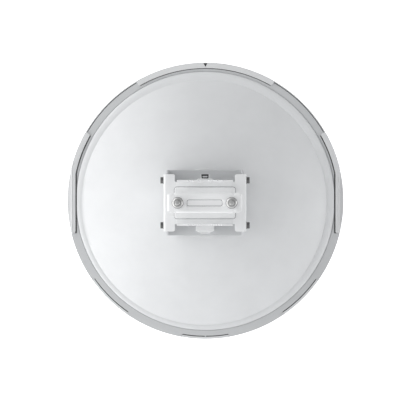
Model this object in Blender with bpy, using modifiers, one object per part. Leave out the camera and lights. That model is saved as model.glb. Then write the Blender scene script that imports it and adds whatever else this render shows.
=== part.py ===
"""Pole-mounted parabolic dish antenna: a round reflector closed by a radome, on a tilting pole bracket.

Metres, +Z up. The dish looks along +Y, and the mast stands on the -Y side of the bracket.
The origin is the middle of the pole bracket's raised flat panel. Rim angles are in degrees,
clockwise from the top as seen from behind, looking along +Y.
"""

import math

import bmesh
import bpy
from mathutils import Matrix

MM = 0.001
TOUCHING_GAP = 0.3 * MM

# Reflector: a spun shell with a rolled bead and a flat flange
REFLECTOR_THICKNESS = 2.0 * MM
VERTEX_Y = 64.3 * MM
VERTEX_FLAT_RADIUS = 60.0 * MM
BOWL_RADIUS = 203.0 * MM
BOWL_DEPTH = 61.6 * MM
BEAD_INNER_RADIUS = 202.5 * MM
BEAD_OUTER_RADIUS = 213.8 * MM
BEAD_HEIGHT = 6.2 * MM
BEAD_INNER_TURN = 24.8
FLANGE_REAR_Y = 128.5 * MM
FLANGE_FRONT_Y = FLANGE_REAR_Y + REFLECTOR_THICKNESS

# Rim outline: how far the flange reaches in each stretch. The rim stands a little above the bracket's middle
RIM_LIFT = 3.2 * MM
RIM_RADIUS = 229.5 * MM
FLANGE_FULL_RADIUS = 229.3 * MM
FLANGE_GAP_RADIUS = 227.8 * MM
FLANGE_NOTCH_RADIUS = 224.7 * MM
FLANGE_UNDER_CLIP_RADIUS = 226.7 * MM
FLANGE_SIDE_FLAT_X = 220.2 * MM
SIDE_FLAT_HALF_HEIGHT = 55.0 * MM
TOP_CLIP_END = 30.0
SIDE_CLIP_START = 60.0
LOWER_NOTCH = (125.0, 145.5)
BOTTOM_NOTCH_START = 170.0
RIM_STEP = 3.0

# Clips that hook the shroud over the flange
CLIP_THICKNESS = 2.4 * MM
CLIP_INNER_RADIUS = 220.1 * MM
SIDE_CLIP_INNER_X = 214.7 * MM
SIDE_CLIP_OUTER_X = 222.9 * MM
SIDE_CLIP_BOTTOM_Z = -53.3 * MM
CLIP_CORNER = 3.0 * MM

# Shroud wall and front cover
SHROUD_REAR_Y = FLANGE_FRONT_Y + TOUCHING_GAP
SHROUD_WALL = 2.2 * MM
SHROUD_LIP_RADIUS = 216.0 * MM
SHROUD_LIP_THICKNESS = 2.2 * MM
SHROUD_FRONT_RADIUS = 227.5 * MM
SHROUD_FRONT_Y = 176.0 * MM
COVER_RISE = 26.0 * MM
COVER_THICKNESS = 2.4 * MM
COVER_SKIRT = 7.0 * MM
COVER_EDGE_RADIUS = 6.0 * MM

# Sheet metal of both brackets
SHEET = 2.5 * MM
BEND_INSIDE = 1.6 * MM

# Pole bracket: a channel that opens towards the dish
POLE_BRACKET_HALF_WIDTH = 65.4 * MM
POLE_BRACKET_HALF_HEIGHT = 45.3 * MM
PANEL_RAISE = 1.8 * MM
POLE_WEB_FRONT_Y = PANEL_RAISE
POLE_WEB_BACK_Y = POLE_WEB_FRONT_Y + SHEET
POLE_FLANGE_END_Y = 45.5 * MM
POLE_FLANGE_CORNER = 10.0 * MM
WEB_HALF_HEIGHT = 36.0 * MM
TAB_INNER_X = 47.3 * MM
PANEL_HALF_WIDTH = 48.0 * MM
PANEL_HALF_HEIGHT = 24.8 * MM
PANEL_CORNER = 4.0 * MM
GRIP_HALF_WIDTH = 44.0 * MM
GRIP_TIP = 14.0 * MM
GRIP_APEX = 4.0 * MM
NOTCH_HALF_WIDTH = 29.0 * MM
NOTCH_FLOOR = 5.0 * MM
TOOTH_COUNT = 6
TOOTH_HEIGHT = 1.7 * MM

# Pole clamp: a bar that slides on the two clamp bolts
POLE_RADIUS = 25.0 * MM
CLAMP_HALF_WIDTH = 57.7 * MM
CLAMP_HALF_HEIGHT = 15.5 * MM
CLAMP_END_DEPTH = 8.0 * MM
CLAMP_BEAD_HALF_WIDTH = 28.0 * MM
CLAMP_BEAD_HALF_HEIGHT = 6.2 * MM
CLAMP_BEAD_DEPTH = 1.5 * MM
NOTCH_SLOPE = math.atan2(GRIP_TIP - GRIP_APEX, NOTCH_HALF_WIDTH)
CLAMP_INNER_Y = -2 * (GRIP_APEX + POLE_RADIUS / math.cos(NOTCH_SLOPE))
CLAMP_OUTER_Y = CLAMP_INNER_Y - SHEET
CLAMP_BOLT_X = 41.5 * MM
CLAMP_BOLT_RADIUS = 4.0 * MM
CLAMP_BOLT_HOLE = 4.7 * MM
CLAMP_BOLT_END_Y = -87.0 * MM

# Base bracket: a channel on the hub that opens towards the mast
BASE_HALF_WIDTH = 62.0 * MM
BASE_HALF_HEIGHT = 52.8 * MM
BASE_WEB_FRONT_Y = 60.0 * MM
BASE_WEB_BACK_Y = BASE_WEB_FRONT_Y - SHEET
BASE_FLANGE_END_Y = 19.0 * MM
BASE_FLANGE_TIP_Z = 43.0 * MM
BASE_FLANGE_SHOULDER_Y = 50.0 * MM
BASE_FLANGE_CORNER = 7.0 * MM

# Tilt: bolts of the pole bracket in curved slots of the base bracket
TILT_AXIS_Y = 35.0 * MM
TILT_LIMIT = 15.0
TILT_BOLT_Z = 36.0 * MM
TILT_BOLT_RADIUS = 3.0 * MM
TILT_BOLT_HOLE = 3.4 * MM
TILT_SLOT_SPARE = 0.6
TILT_BOLT_END_X = 51.0 * MM

# Flanged hexagons of the fasteners: across the flats, flange radius, flange height and whole height
TILT_BOLT_HEAD = (10.0 * MM, 6.6 * MM, 1.5 * MM, 5.6 * MM)
TILT_NUT = (10.0 * MM, 6.6 * MM, 1.5 * MM, 6.0 * MM)
CLAMP_NUT = (13.0 * MM, 8.4 * MM, 1.8 * MM, 8.0 * MM)
FLANGE_TAPER = 0.93
CLAMP_HEAD_RADIUS = 9.5 * MM
CLAMP_HEAD_CROWN_RADIUS = 6.5 * MM
CLAMP_HEAD_HEIGHT = 4.5 * MM

# Hub, screws and the housing behind the feed
HUB_RADIUS = 55.5 * MM
HUB_CHAMFER = 1.5 * MM
HUB_SCREW_X = 27.0 * MM
HUB_SCREW_Z = 22.0 * MM
HUB_SCREW_RADIUS = 2.5 * MM
HUB_SCREW_HOLE = 2.9 * MM
HUB_SCREW_HEAD_RADIUS = 5.0 * MM
HUB_SCREW_HEAD = 3.2 * MM
HUB_SCREW_LENGTH = 5.2 * MM
HOUSING_HALF_WIDTH = 14.7 * MM
HOUSING_TOP_Z = 38.7 * MM
HOUSING_BOTTOM_Z = -47.0 * MM
HOUSING_REAR_Y = 24.0 * MM
HOUSING_CORNER = 7.0 * MM
HOUSING_EDGE = 3.0 * MM
LATCH_HALF_WIDTH = 5.9 * MM
LATCH_HEIGHT = 6.5 * MM
LATCH_Y = (26.5 * MM, 40.0 * MM)
PORT_HALF_WIDTH = 7.5 * MM
PORT_Y = (30.0 * MM, 54.0 * MM)
PORT_THICKNESS = 1.8 * MM
PORT_CORNER = 2.0 * MM
PORT_GRIP_HALF_WIDTH = 3.5 * MM
PORT_GRIP_DEPTH = 2.0 * MM
PORT_GRIP_CORNER = 0.5 * MM

ROUND_STEPS = 72
HUB_STEPS = 48
SMALL_ROUND_STEPS = 16
SMOOTH_ANGLE = math.radians(35)

FACING_Y = (math.radians(-90), 0, 0)
UPRIGHT_ACROSS = Matrix.Rotation(math.radians(90), 4, "X")
UPRIGHT_ALONG = Matrix.Rotation(math.radians(90), 4, "Z") @ UPRIGHT_ACROSS
RIM_UPRIGHT = Matrix.Translation((0, 0, RIM_LIFT)) @ UPRIGHT_ACROSS


def clear_scene():
    for thing in list(bpy.data.objects):
        bpy.data.objects.remove(thing, do_unlink=True)


def add_collection(name):
    collection = bpy.data.collections.new(name)
    bpy.context.scene.collection.children.link(collection)
    return collection


def add_material(name, colour, roughness, metallic=0.0):
    finish = bpy.data.materials.new(name)
    finish.use_nodes = True
    shader = finish.node_tree.nodes["Principled BSDF"]
    shader.inputs["Base Color"].default_value = (*colour, 1.0)
    shader.inputs["Roughness"].default_value = roughness
    shader.inputs["Metallic"].default_value = metallic
    return finish


def add_carrier(name, y):
    """An empty that a rigid group of pieces hangs from, on the axis of that group's joint."""
    carrier = bpy.data.objects.new(name, None)
    carrier.location = (0, y, 0)
    carrier.empty_display_size = 0.05
    parts.objects.link(carrier)
    return carrier


def add_piece(name, mesh, finish, carrier, location=(0, 0, 0), rotation=(0, 0, 0)):
    if not mesh.materials:
        mesh.materials.append(finish)
    if mesh.polygons:
        mesh.shade_smooth()
        mesh.set_sharp_from_angle(angle=SMOOTH_ANGLE)
    piece = bpy.data.objects.new(name, mesh)
    parts.objects.link(piece)
    piece.parent = carrier
    piece.matrix_parent_inverse = Matrix.Translation(carrier.location).inverted()
    piece.location = location
    piece.rotation_euler = rotation
    return piece


def moved(mesh, matrix):
    mesh.transform(matrix)
    return mesh


def weld(mesh):
    form = bmesh.new()
    form.from_mesh(mesh)
    bmesh.ops.remove_doubles(form, verts=form.verts, dist=0.001 * MM)
    bmesh.ops.recalc_face_normals(form, faces=form.faces)
    form.to_mesh(mesh)
    form.free()
    return mesh


def box_mesh(low, high):
    form = bmesh.new()
    size = [b - a for a, b in zip(low, high)]
    centre = [(a + b) / 2 for a, b in zip(low, high)]
    place = Matrix.Translation(centre) @ Matrix.Diagonal((*size, 1))
    bmesh.ops.create_cube(form, size=1, matrix=place)
    mesh = bpy.data.meshes.new("box")
    form.to_mesh(mesh)
    form.free()
    return mesh


def rod_mesh(radius, start, end, sides=SMALL_ROUND_STEPS, tip_radius=None):
    """A cylinder or cone along local Z, from start to end."""
    form = bmesh.new()
    bmesh.ops.create_cone(
        form,
        cap_ends=True,
        segments=sides,
        radius1=radius,
        radius2=radius if tip_radius is None else tip_radius,
        depth=end - start,
        matrix=Matrix.Translation((0, 0, (start + end) / 2)),
    )
    mesh = bpy.data.meshes.new("rod")
    form.to_mesh(mesh)
    form.free()
    return mesh


def sheet_mesh(outlines, low, high):
    """A flat plate on the outlines, in local XY, from low to high along local Z. Inner outlines are holes."""
    curve = bpy.data.curves.new("sheet", "CURVE")
    curve.dimensions = "2D"
    curve.fill_mode = "BOTH"
    curve.extrude = (high - low) / 2
    for outline in outlines:
        spline = curve.splines.new("POLY")
        spline.points.add(len(outline) - 1)
        spline.use_cyclic_u = True
        for point, (x, y) in zip(spline.points, outline):
            point.co = (x, y, 0, 1)
    drawn = bpy.data.objects.new("sheet", curve)
    cutters.objects.link(drawn)
    graph = bpy.context.evaluated_depsgraph_get()
    mesh = bpy.data.meshes.new_from_object(drawn.evaluated_get(graph))
    bpy.data.objects.remove(drawn)
    mesh.materials.clear()
    return weld(moved(mesh, Matrix.Translation((0, 0, (low + high) / 2))))


def combined(base, tools, operation):
    """The base mesh with each tool mesh joined to it, cut from it or kept in common with it."""
    body = bpy.data.objects.new("body", base)
    cutters.objects.link(body)
    helpers = []
    for tool in tools:
        helper = bpy.data.objects.new("tool", tool)
        cutters.objects.link(helper)
        helper.hide_render = True
        helper.display_type = "WIRE"
        step = body.modifiers.new(operation.lower(), "BOOLEAN")
        step.operation = operation
        step.object = helper
        helpers.append(helper)
    graph = bpy.context.evaluated_depsgraph_get()
    mesh = bpy.data.meshes.new_from_object(body.evaluated_get(graph))
    for used in [body, *helpers]:
        bpy.data.objects.remove(used)
    mesh.materials.clear()
    return mesh


def joined(base, *tools):
    return combined(base, tools, "UNION")


def cut(base, *tools):
    return combined(base, tools, "DIFFERENCE")


def common(base, *tools):
    return combined(base, tools, "INTERSECT")


def round_corners(corners, steps=4):
    """An outline through corners (x, y, radius), each rounded to its radius where that isn't 0."""
    outline = []
    for i, (x, y, radius) in enumerate(corners):
        if not radius:
            outline.append((x, y))
            continue
        ends = []
        for near_x, near_y, _ in (corners[i - 1], corners[(i + 1) % len(corners)]):
            length = math.hypot(near_x - x, near_y - y)
            ends.append(((near_x - x) / length, (near_y - y) / length))
        (ax, ay), (bx, by) = ends
        half = math.acos(max(-1, min(1, ax * bx + ay * by))) / 2
        setback = radius / math.tan(half)
        middle = radius / math.sin(half)
        mid_x, mid_y = ax + bx, ay + by
        scale = middle / math.hypot(mid_x, mid_y)
        centre_x, centre_y = x + mid_x * scale, y + mid_y * scale
        first = math.atan2(y + ay * setback - centre_y, x + ax * setback - centre_x)
        last = math.atan2(y + by * setback - centre_y, x + bx * setback - centre_x)
        turn = (last - first + math.pi) % (2 * math.pi) - math.pi
        for k in range(steps + 1):
            angle = first + turn * k / steps
            outline.append((centre_x + radius * math.cos(angle), centre_y + radius * math.sin(angle)))
    return outline


def rounded_box(half_x, low_y, high_y, radius):
    corners = [(-half_x, low_y, radius), (half_x, low_y, radius)]
    corners += [(half_x, high_y, radius), (-half_x, high_y, radius)]
    return round_corners(corners)


def mirrored(half):
    """A half outline from the middle out, with x above 0, closed by its mirror image."""
    return half + [(-x, y) for x, y in reversed(half) if x > 0.01 * MM]


def rim_point(radius, degrees):
    angle = math.radians(degrees)
    return (radius * math.sin(angle), radius * math.cos(angle))


def rim_arc(radius, start, end):
    count = max(1, math.ceil(abs(end - start) / RIM_STEP))
    return [rim_point(radius, start + (end - start) * k / count) for k in range(count + 1)]


def add_turned(name, profile, finish, carrier, closed=False):
    """A profile of (radius, y) points turned about the rim's axis. Its outer side runs from high y to low."""
    count = len(profile)
    links = [(i, i + 1) for i in range(count - 1)]
    if closed:
        links.append((count - 1, 0))
    mesh = bpy.data.meshes.new(name)
    mesh.from_pydata([(radius, 0, y) for radius, y in profile], links, [])
    piece = add_piece(name, mesh, finish, carrier, (0, 0, RIM_LIFT), FACING_Y)
    turn = piece.modifiers.new("turn", "SCREW")
    turn.steps = ROUND_STEPS
    turn.render_steps = ROUND_STEPS
    turn.use_merge_vertices = True
    turn.merge_threshold = 0.01 * MM
    return piece


def add_cutter(name, mesh, carrier):
    cutter = bpy.data.objects.new(name, mesh)
    cutters.objects.link(cutter)
    cutter.parent = carrier
    cutter.matrix_parent_inverse = Matrix.Translation(carrier.location).inverted()
    cutter.hide_render = True
    cutter.display_type = "WIRE"
    return cutter


def flange_outline(clearance=0.0):
    """The reflector's edge: full radius below, let in under the clips and flat at both sides."""
    half = rim_arc(FLANGE_UNDER_CLIP_RADIUS + clearance, 0, TOP_CLIP_END)
    half += rim_arc(FLANGE_GAP_RADIUS, TOP_CLIP_END, SIDE_CLIP_START)
    flat_x = FLANGE_SIDE_FLAT_X + clearance
    flat_start = math.degrees(math.asin(flat_x / (FLANGE_UNDER_CLIP_RADIUS + clearance)))
    half += rim_arc(FLANGE_UNDER_CLIP_RADIUS + clearance, SIDE_CLIP_START, flat_start)
    half += [(flat_x, -SIDE_FLAT_HALF_HEIGHT)]
    lower_start = math.degrees(math.acos(-SIDE_FLAT_HALF_HEIGHT / FLANGE_FULL_RADIUS))
    half += rim_arc(FLANGE_FULL_RADIUS, lower_start, LOWER_NOTCH[0])
    half += rim_arc(FLANGE_NOTCH_RADIUS, *LOWER_NOTCH)
    half += rim_arc(FLANGE_FULL_RADIUS, LOWER_NOTCH[1], BOTTOM_NOTCH_START)
    half += rim_arc(FLANGE_NOTCH_RADIUS, BOTTOM_NOTCH_START, 180)
    return mirrored(half)


def bowl_profile():
    """The reflector's rear surface from past its edge to its middle, as (radius, y)."""
    rows = 7
    profile = [(0, VERTEX_Y)]
    spread = BOWL_RADIUS**2 - VERTEX_FLAT_RADIUS**2
    for k in range(rows):
        radius = VERTEX_FLAT_RADIUS + (BOWL_RADIUS - VERTEX_FLAT_RADIUS) * k / (rows - 1)
        profile.append((radius, VERTEX_Y + BOWL_DEPTH * (radius**2 - VERTEX_FLAT_RADIUS**2) / spread))
    bead_steps = 5
    middle = (BEAD_INNER_RADIUS + BEAD_OUTER_RADIUS) / 2
    half_width = (BEAD_OUTER_RADIUS - BEAD_INNER_RADIUS) / 2
    for k in range(1, bead_steps + 1):
        angle = math.radians(BEAD_INNER_TURN + (180 - BEAD_INNER_TURN) * k / bead_steps)
        y = FLANGE_REAR_Y - BEAD_HEIGHT * math.sin(angle)
        profile.append((middle - half_width * math.cos(angle), y))
    profile.append((RIM_RADIUS + SHEET, FLANGE_REAR_Y))
    return profile[::-1]


def add_reflector(finish, carrier):
    reflector = add_turned("dish_reflector", bowl_profile(), finish, carrier)
    shell = reflector.modifiers.new("shell", "SOLIDIFY")
    shell.thickness = REFLECTOR_THICKNESS
    shell.offset = -1
    shell.use_even_offset = True
    beyond = 20 * MM
    circle = rim_arc(RIM_RADIUS + beyond, 0, 360 - RIM_STEP)
    ring = sheet_mesh([circle, flange_outline()], -FLANGE_FRONT_Y - beyond, -FLANGE_REAR_Y + beyond)
    trim = reflector.modifiers.new("trim", "BOOLEAN")
    trim.operation = "DIFFERENCE"
    trim.object = add_cutter("rim_trim", moved(ring, RIM_UPRIGHT), carrier)
    return reflector


def add_shroud(finish, carrier):
    lip_y = SHROUD_REAR_Y + SHROUD_LIP_THICKNESS
    profile = [
        (SHROUD_FRONT_RADIUS, SHROUD_FRONT_Y),
        (RIM_RADIUS, lip_y),
        (RIM_RADIUS, SHROUD_REAR_Y),
        (SHROUD_LIP_RADIUS, SHROUD_REAR_Y),
        (SHROUD_LIP_RADIUS, lip_y),
        (RIM_RADIUS - SHROUD_WALL, lip_y),
        (SHROUD_FRONT_RADIUS - SHROUD_WALL, SHROUD_FRONT_Y),
    ]
    return add_turned("shroud_ring", profile, finish, carrier, closed=True)


def add_cover(finish, carrier):
    """A shallow dome whose rim stands on the shroud, with a skirt just inside the wall."""
    rows = 5
    edge_y = SHROUD_FRONT_Y + TOUCHING_GAP
    outer = SHROUD_FRONT_RADIUS
    dome_foot = outer - COVER_EDGE_RADIUS
    shoulder_y = edge_y + COVER_EDGE_RADIUS
    top = []
    for k in range(rows):
        radius = dome_foot * k / (rows - 1)
        top.append((radius, shoulder_y + (COVER_RISE - COVER_EDGE_RADIUS) * (1 - (radius / dome_foot) ** 2)))
    edge_steps = 3
    for k in range(1, edge_steps + 1):
        angle = math.radians(90 * k / edge_steps)
        x = dome_foot + COVER_EDGE_RADIUS * math.sin(angle)
        top.append((x, edge_y + COVER_EDGE_RADIUS * math.cos(angle)))
    skirt = outer - SHROUD_WALL - TOUCHING_GAP
    under = [(skirt, edge_y), (skirt, edge_y - COVER_SKIRT)]
    under += [(skirt - COVER_THICKNESS, edge_y - COVER_SKIRT), (skirt - COVER_THICKNESS, edge_y)]
    inner = [(r * (dome_foot - COVER_THICKNESS) / dome_foot, y - COVER_THICKNESS) for r, y in top[:rows]]
    return add_turned("radome_cover", top + under + inner[::-1], finish, carrier)


def clip_mesh(outline):
    """A clip on the outline, hollowed behind its face where the flange lies."""
    rear_y = FLANGE_REAR_Y - TOUCHING_GAP - CLIP_THICKNESS
    body = sheet_mesh([outline], -FLANGE_FRONT_Y, -rear_y)
    room = flange_outline(TOUCHING_GAP)
    pocket = sheet_mesh([room], -FLANGE_FRONT_Y - SHEET, -FLANGE_REAR_Y + TOUCHING_GAP)
    return moved(cut(body, pocket), RIM_UPRIGHT)


def top_clip_outline():
    end = TOP_CLIP_END - math.degrees(CLIP_CORNER / RIM_RADIUS)
    corner = [(*rim_point(RIM_RADIUS, TOP_CLIP_END), CLIP_CORNER)]
    corner += [(*rim_point(CLIP_INNER_RADIUS, TOP_CLIP_END), CLIP_CORNER)]
    outer = [(x, y, 0) for x, y in rim_arc(RIM_RADIUS, -end, end)]
    inner = [(x, y, 0) for x, y in rim_arc(CLIP_INNER_RADIUS, end, -end)]
    left = [(-x, y, radius) for x, y, radius in reversed(corner)]
    return round_corners(outer + corner + inner + left)


def side_clip_outline(side):
    """The clip beside the flat of the rim: an arc above and a straight strip below it."""
    start = SIDE_CLIP_START + math.degrees(CLIP_CORNER / RIM_RADIUS)
    outer_turn = math.degrees(math.asin(SIDE_CLIP_OUTER_X / RIM_RADIUS))
    inner_turn = math.degrees(math.asin(SIDE_CLIP_INNER_X / CLIP_INNER_RADIUS))
    corners = [(*rim_point(RIM_RADIUS, SIDE_CLIP_START), CLIP_CORNER)]
    corners += [(x, y, 0) for x, y in rim_arc(RIM_RADIUS, start, outer_turn)]
    corners += [(SIDE_CLIP_OUTER_X, SIDE_CLIP_BOTTOM_Z, CLIP_CORNER)]
    corners += [(SIDE_CLIP_INNER_X, SIDE_CLIP_BOTTOM_Z, CLIP_CORNER / 2)]
    corners += [(x, y, 0) for x, y in rim_arc(CLIP_INNER_RADIUS, inner_turn, start)]
    corners += [(*rim_point(CLIP_INNER_RADIUS, SIDE_CLIP_START), CLIP_CORNER)]
    return round_corners([(side * x, y, radius) for x, y, radius in corners])


def add_clips(finish, carrier):
    add_piece("rim_clip_top", clip_mesh(top_clip_outline()), finish, carrier)
    for name, side in (("rim_clip_left", -1), ("rim_clip_right", 1)):
        add_piece(name, clip_mesh(side_clip_outline(side)), finish, carrier)


def channel_mesh(half_width, half_height, web_y, end_y):
    """A bent sheet channel along Z: its web's outer face is at web_y and its flanges end at end_y."""
    way = 1 if end_y > web_y else -1
    inside = web_y + way * SHEET
    corners = [(-half_width, end_y, 0), (-half_width, web_y, BEND_INSIDE + SHEET)]
    corners += [(half_width, web_y, BEND_INSIDE + SHEET), (half_width, end_y, 0)]
    corners += [(half_width - SHEET, end_y, 0), (half_width - SHEET, inside, BEND_INSIDE)]
    corners += [(SHEET - half_width, inside, BEND_INSIDE), (SHEET - half_width, end_y, 0)]
    return sheet_mesh([round_corners(corners)], -half_height, half_height)


def across(outline, half_width):
    """A solid across X on an outline of (y, z) points."""
    return moved(sheet_mesh([outline], -half_width, half_width), UPRIGHT_ALONG)


def grip_outline(root_y, way):
    """A folded grip flange with a toothed notch for the mast, as (x, y). It points along way, 1 or -1."""
    teeth = []
    pitch = (NOTCH_HALF_WIDTH - NOTCH_FLOOR) / TOOTH_COUNT
    for k in range(TOOTH_COUNT + 1):
        valley_x = NOTCH_FLOOR + pitch * k
        teeth.append((valley_x, GRIP_APEX + valley_x * math.tan(NOTCH_SLOPE)))
        if k < TOOTH_COUNT:
            tip_x = valley_x + pitch / 2
            teeth.append((tip_x, GRIP_APEX + tip_x * math.tan(NOTCH_SLOPE) + TOOTH_HEIGHT))
    tip = GRIP_TIP + NOTCH_FLOOR * math.tan(NOTCH_SLOPE)
    half = teeth + [(GRIP_HALF_WIDTH, tip), (GRIP_HALF_WIDTH, -SHEET / 2)]
    return [(x, root_y + way * depth) for x, depth in mirrored(half)]


def grip_meshes(half_height, root_y, way):
    outline = grip_outline(root_y, way)
    upper = sheet_mesh([outline], half_height - SHEET, half_height)
    lower = sheet_mesh([outline], -half_height, SHEET - half_height)
    return upper, lower


def pressed_panel(half_width, half_height, corner, depth, sheet):
    """A pressing with sloping sides, in local XY, that stands depth above a sheet whose face is at 0."""
    outline = rounded_box(half_width, -half_height, half_height, corner)
    mesh = sheet_mesh([outline], -sheet / 2, depth)
    for vertex in mesh.vertices:
        if vertex.co.z > 0:
            vertex.co.x *= 1 - depth / half_width
            vertex.co.y *= 1 - depth / half_height
    return moved(mesh, UPRIGHT_ACROSS)


def add_pole_bracket(finish, carrier):
    channel = channel_mesh(
        POLE_BRACKET_HALF_WIDTH, POLE_BRACKET_HALF_HEIGHT, POLE_WEB_FRONT_Y, POLE_FLANGE_END_Y
    )
    height = POLE_BRACKET_HALF_HEIGHT
    side = round_corners(
        [
            (0, -height, 0),
            (POLE_FLANGE_END_Y, -height, POLE_FLANGE_CORNER),
            (POLE_FLANGE_END_Y, height, POLE_FLANGE_CORNER),
            (0, height, 0),
        ]
    )
    body = common(channel, across(side, 2 * POLE_BRACKET_HALF_WIDTH))
    panel = pressed_panel(PANEL_HALF_WIDTH, PANEL_HALF_HEIGHT, PANEL_CORNER, PANEL_RAISE, SHEET)
    panel.transform(Matrix.Translation((0, POLE_WEB_FRONT_Y, 0)))
    upper, lower = grip_meshes(WEB_HALF_HEIGHT, POLE_WEB_FRONT_Y, -1)
    reach = POLE_WEB_BACK_Y + SHEET
    top = box_mesh((-TAB_INNER_X, -SHEET, WEB_HALF_HEIGHT), (TAB_INNER_X, reach, 2 * height))
    bottom = box_mesh((-TAB_INNER_X, -SHEET, -2 * height), (TAB_INNER_X, reach, -WEB_HALF_HEIGHT))
    body = joined(cut(body, top, bottom), panel, upper, lower)
    holes = []
    for x in (-CLAMP_BOLT_X, CLAMP_BOLT_X):
        hole = rod_mesh(CLAMP_BOLT_HOLE, -20 * MM, 20 * MM)
        holes.append(moved(hole, Matrix.Translation((x, 0, 0)) @ UPRIGHT_ACROSS))
    for z in (-TILT_BOLT_Z, TILT_BOLT_Z):
        hole = rod_mesh(TILT_BOLT_HOLE, -2 * POLE_BRACKET_HALF_WIDTH, 2 * POLE_BRACKET_HALF_WIDTH)
        holes.append(moved(hole, Matrix.Translation((0, TILT_AXIS_Y, z)) @ UPRIGHT_ALONG))
    add_piece("pole_bracket", cut(body, *holes), finish, carrier)


def add_pole_clamp(finish, carrier):
    end_y = CLAMP_INNER_Y + CLAMP_END_DEPTH
    bar = channel_mesh(CLAMP_HALF_WIDTH, CLAMP_HALF_HEIGHT, CLAMP_OUTER_Y, end_y)
    upper, lower = grip_meshes(CLAMP_HALF_HEIGHT, CLAMP_INNER_Y, 1)
    bump = pressed_panel(
        CLAMP_BEAD_HALF_WIDTH, CLAMP_BEAD_HALF_HEIGHT, CLAMP_BEAD_HALF_HEIGHT / 2, CLAMP_BEAD_DEPTH, SHEET
    )
    facing_mast = Matrix.Rotation(math.radians(180), 4, "Z")
    bump.transform(Matrix.Translation((0, CLAMP_INNER_Y, 0)) @ facing_mast)
    recess = bump.copy()
    recess.transform(Matrix.Translation((0, -SHEET, 0)))
    body = cut(joined(bar, upper, lower, bump), recess)
    holes = []
    for x in (-CLAMP_BOLT_X, CLAMP_BOLT_X):
        hole = rod_mesh(CLAMP_BOLT_HOLE, -10 * MM, 10 * MM)
        holes.append(moved(hole, Matrix.Translation((x, CLAMP_OUTER_Y, 0)) @ UPRIGHT_ACROSS))
    add_piece("pole_clamp", cut(body, *holes), finish, carrier)


def slot_outline(side):
    """A curved slot about the tilt axis, above or below it, as (y, z)."""
    limit = TILT_LIMIT + TILT_SLOT_SPARE
    steps = 8
    outer = TILT_BOLT_Z + TILT_BOLT_HOLE
    inner = TILT_BOLT_Z - TILT_BOLT_HOLE
    outline = []
    for k in range(steps + 1):
        outline.append(rim_point(outer, -limit + 2 * limit * k / steps))
    end_steps = 6
    for sign, first in ((1, 0), (-1, 180)):
        centre = rim_point(TILT_BOLT_Z, sign * limit)
        for k in range(1, end_steps):
            turn = math.radians(first + sign * limit + 180 * k / end_steps)
            x = centre[0] + TILT_BOLT_HOLE * math.sin(turn)
            outline.append((x, centre[1] + TILT_BOLT_HOLE * math.cos(turn)))
        if sign == 1:
            for k in range(steps + 1):
                outline.append(rim_point(inner, limit - 2 * limit * k / steps))
    return [(TILT_AXIS_Y + y, side * z) for y, z in outline]


def add_base_bracket(finish, carrier):
    channel = channel_mesh(BASE_HALF_WIDTH, BASE_HALF_HEIGHT, BASE_WEB_FRONT_Y, BASE_FLANGE_END_Y)
    corner = BASE_FLANGE_CORNER
    side = round_corners(
        [
            (BASE_WEB_FRONT_Y + SHEET, -BASE_HALF_HEIGHT, 0),
            (BASE_FLANGE_SHOULDER_Y, -BASE_HALF_HEIGHT, corner),
            (BASE_FLANGE_END_Y, -BASE_FLANGE_TIP_Z, corner),
            (BASE_FLANGE_END_Y, BASE_FLANGE_TIP_Z, corner),
            (BASE_FLANGE_SHOULDER_Y, BASE_HALF_HEIGHT, corner),
            (BASE_WEB_FRONT_Y + SHEET, BASE_HALF_HEIGHT, 0),
        ]
    )
    body = common(channel, across(side, 2 * BASE_HALF_WIDTH))
    cuts = [across(slot_outline(side), 2 * BASE_HALF_WIDTH) for side in (-1, 1)]
    for x, z in hub_screw_places():
        hole = rod_mesh(HUB_SCREW_HOLE, -10 * MM, 10 * MM)
        cuts.append(moved(hole, Matrix.Translation((x, BASE_WEB_FRONT_Y, z)) @ UPRIGHT_ACROSS))
    add_piece("base_bracket", cut(body, *cuts), finish, carrier)


def hub_screw_places():
    return [(x, z) for z in (HUB_SCREW_Z, -HUB_SCREW_Z) for x in (-HUB_SCREW_X, HUB_SCREW_X)]


def add_hub(finish, carrier):
    """A round boss between the base bracket and the reflector, drilled for the bracket's screws."""
    rear = BASE_WEB_FRONT_Y + TOUCHING_GAP
    front = VERTEX_Y - TOUCHING_GAP
    disc = rod_mesh(HUB_RADIUS, rear + HUB_CHAMFER, front, HUB_STEPS)
    face = rod_mesh(HUB_RADIUS - HUB_CHAMFER, rear, rear + HUB_CHAMFER + SHEET / 2, HUB_STEPS, HUB_RADIUS)
    turned = moved(joined(disc, face), Matrix.Rotation(math.radians(-90), 4, "X"))
    holes = []
    for x, z in hub_screw_places():
        hole = rod_mesh(HUB_SCREW_HOLE, -HUB_SCREW_LENGTH, HUB_SCREW_LENGTH)
        holes.append(moved(hole, Matrix.Translation((x, rear, z)) @ UPRIGHT_ACROSS))
    add_piece("hub_boss", cut(turned, *holes), finish, carrier)


def add_hub_screws(finish, carrier):
    head = rod_mesh(HUB_SCREW_HEAD_RADIUS, -HUB_SCREW_HEAD, 0)
    shank = rod_mesh(HUB_SCREW_RADIUS, -HUB_SCREW_HEAD / 2, HUB_SCREW_LENGTH)
    screw = joined(head, shank)
    head_y = BASE_WEB_BACK_Y - TOUCHING_GAP
    for i, (x, z) in enumerate(hub_screw_places(), start=1):
        add_piece(f"hub_screw_{i}", screw, finish, carrier, (x, head_y, z), FACING_Y)


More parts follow.
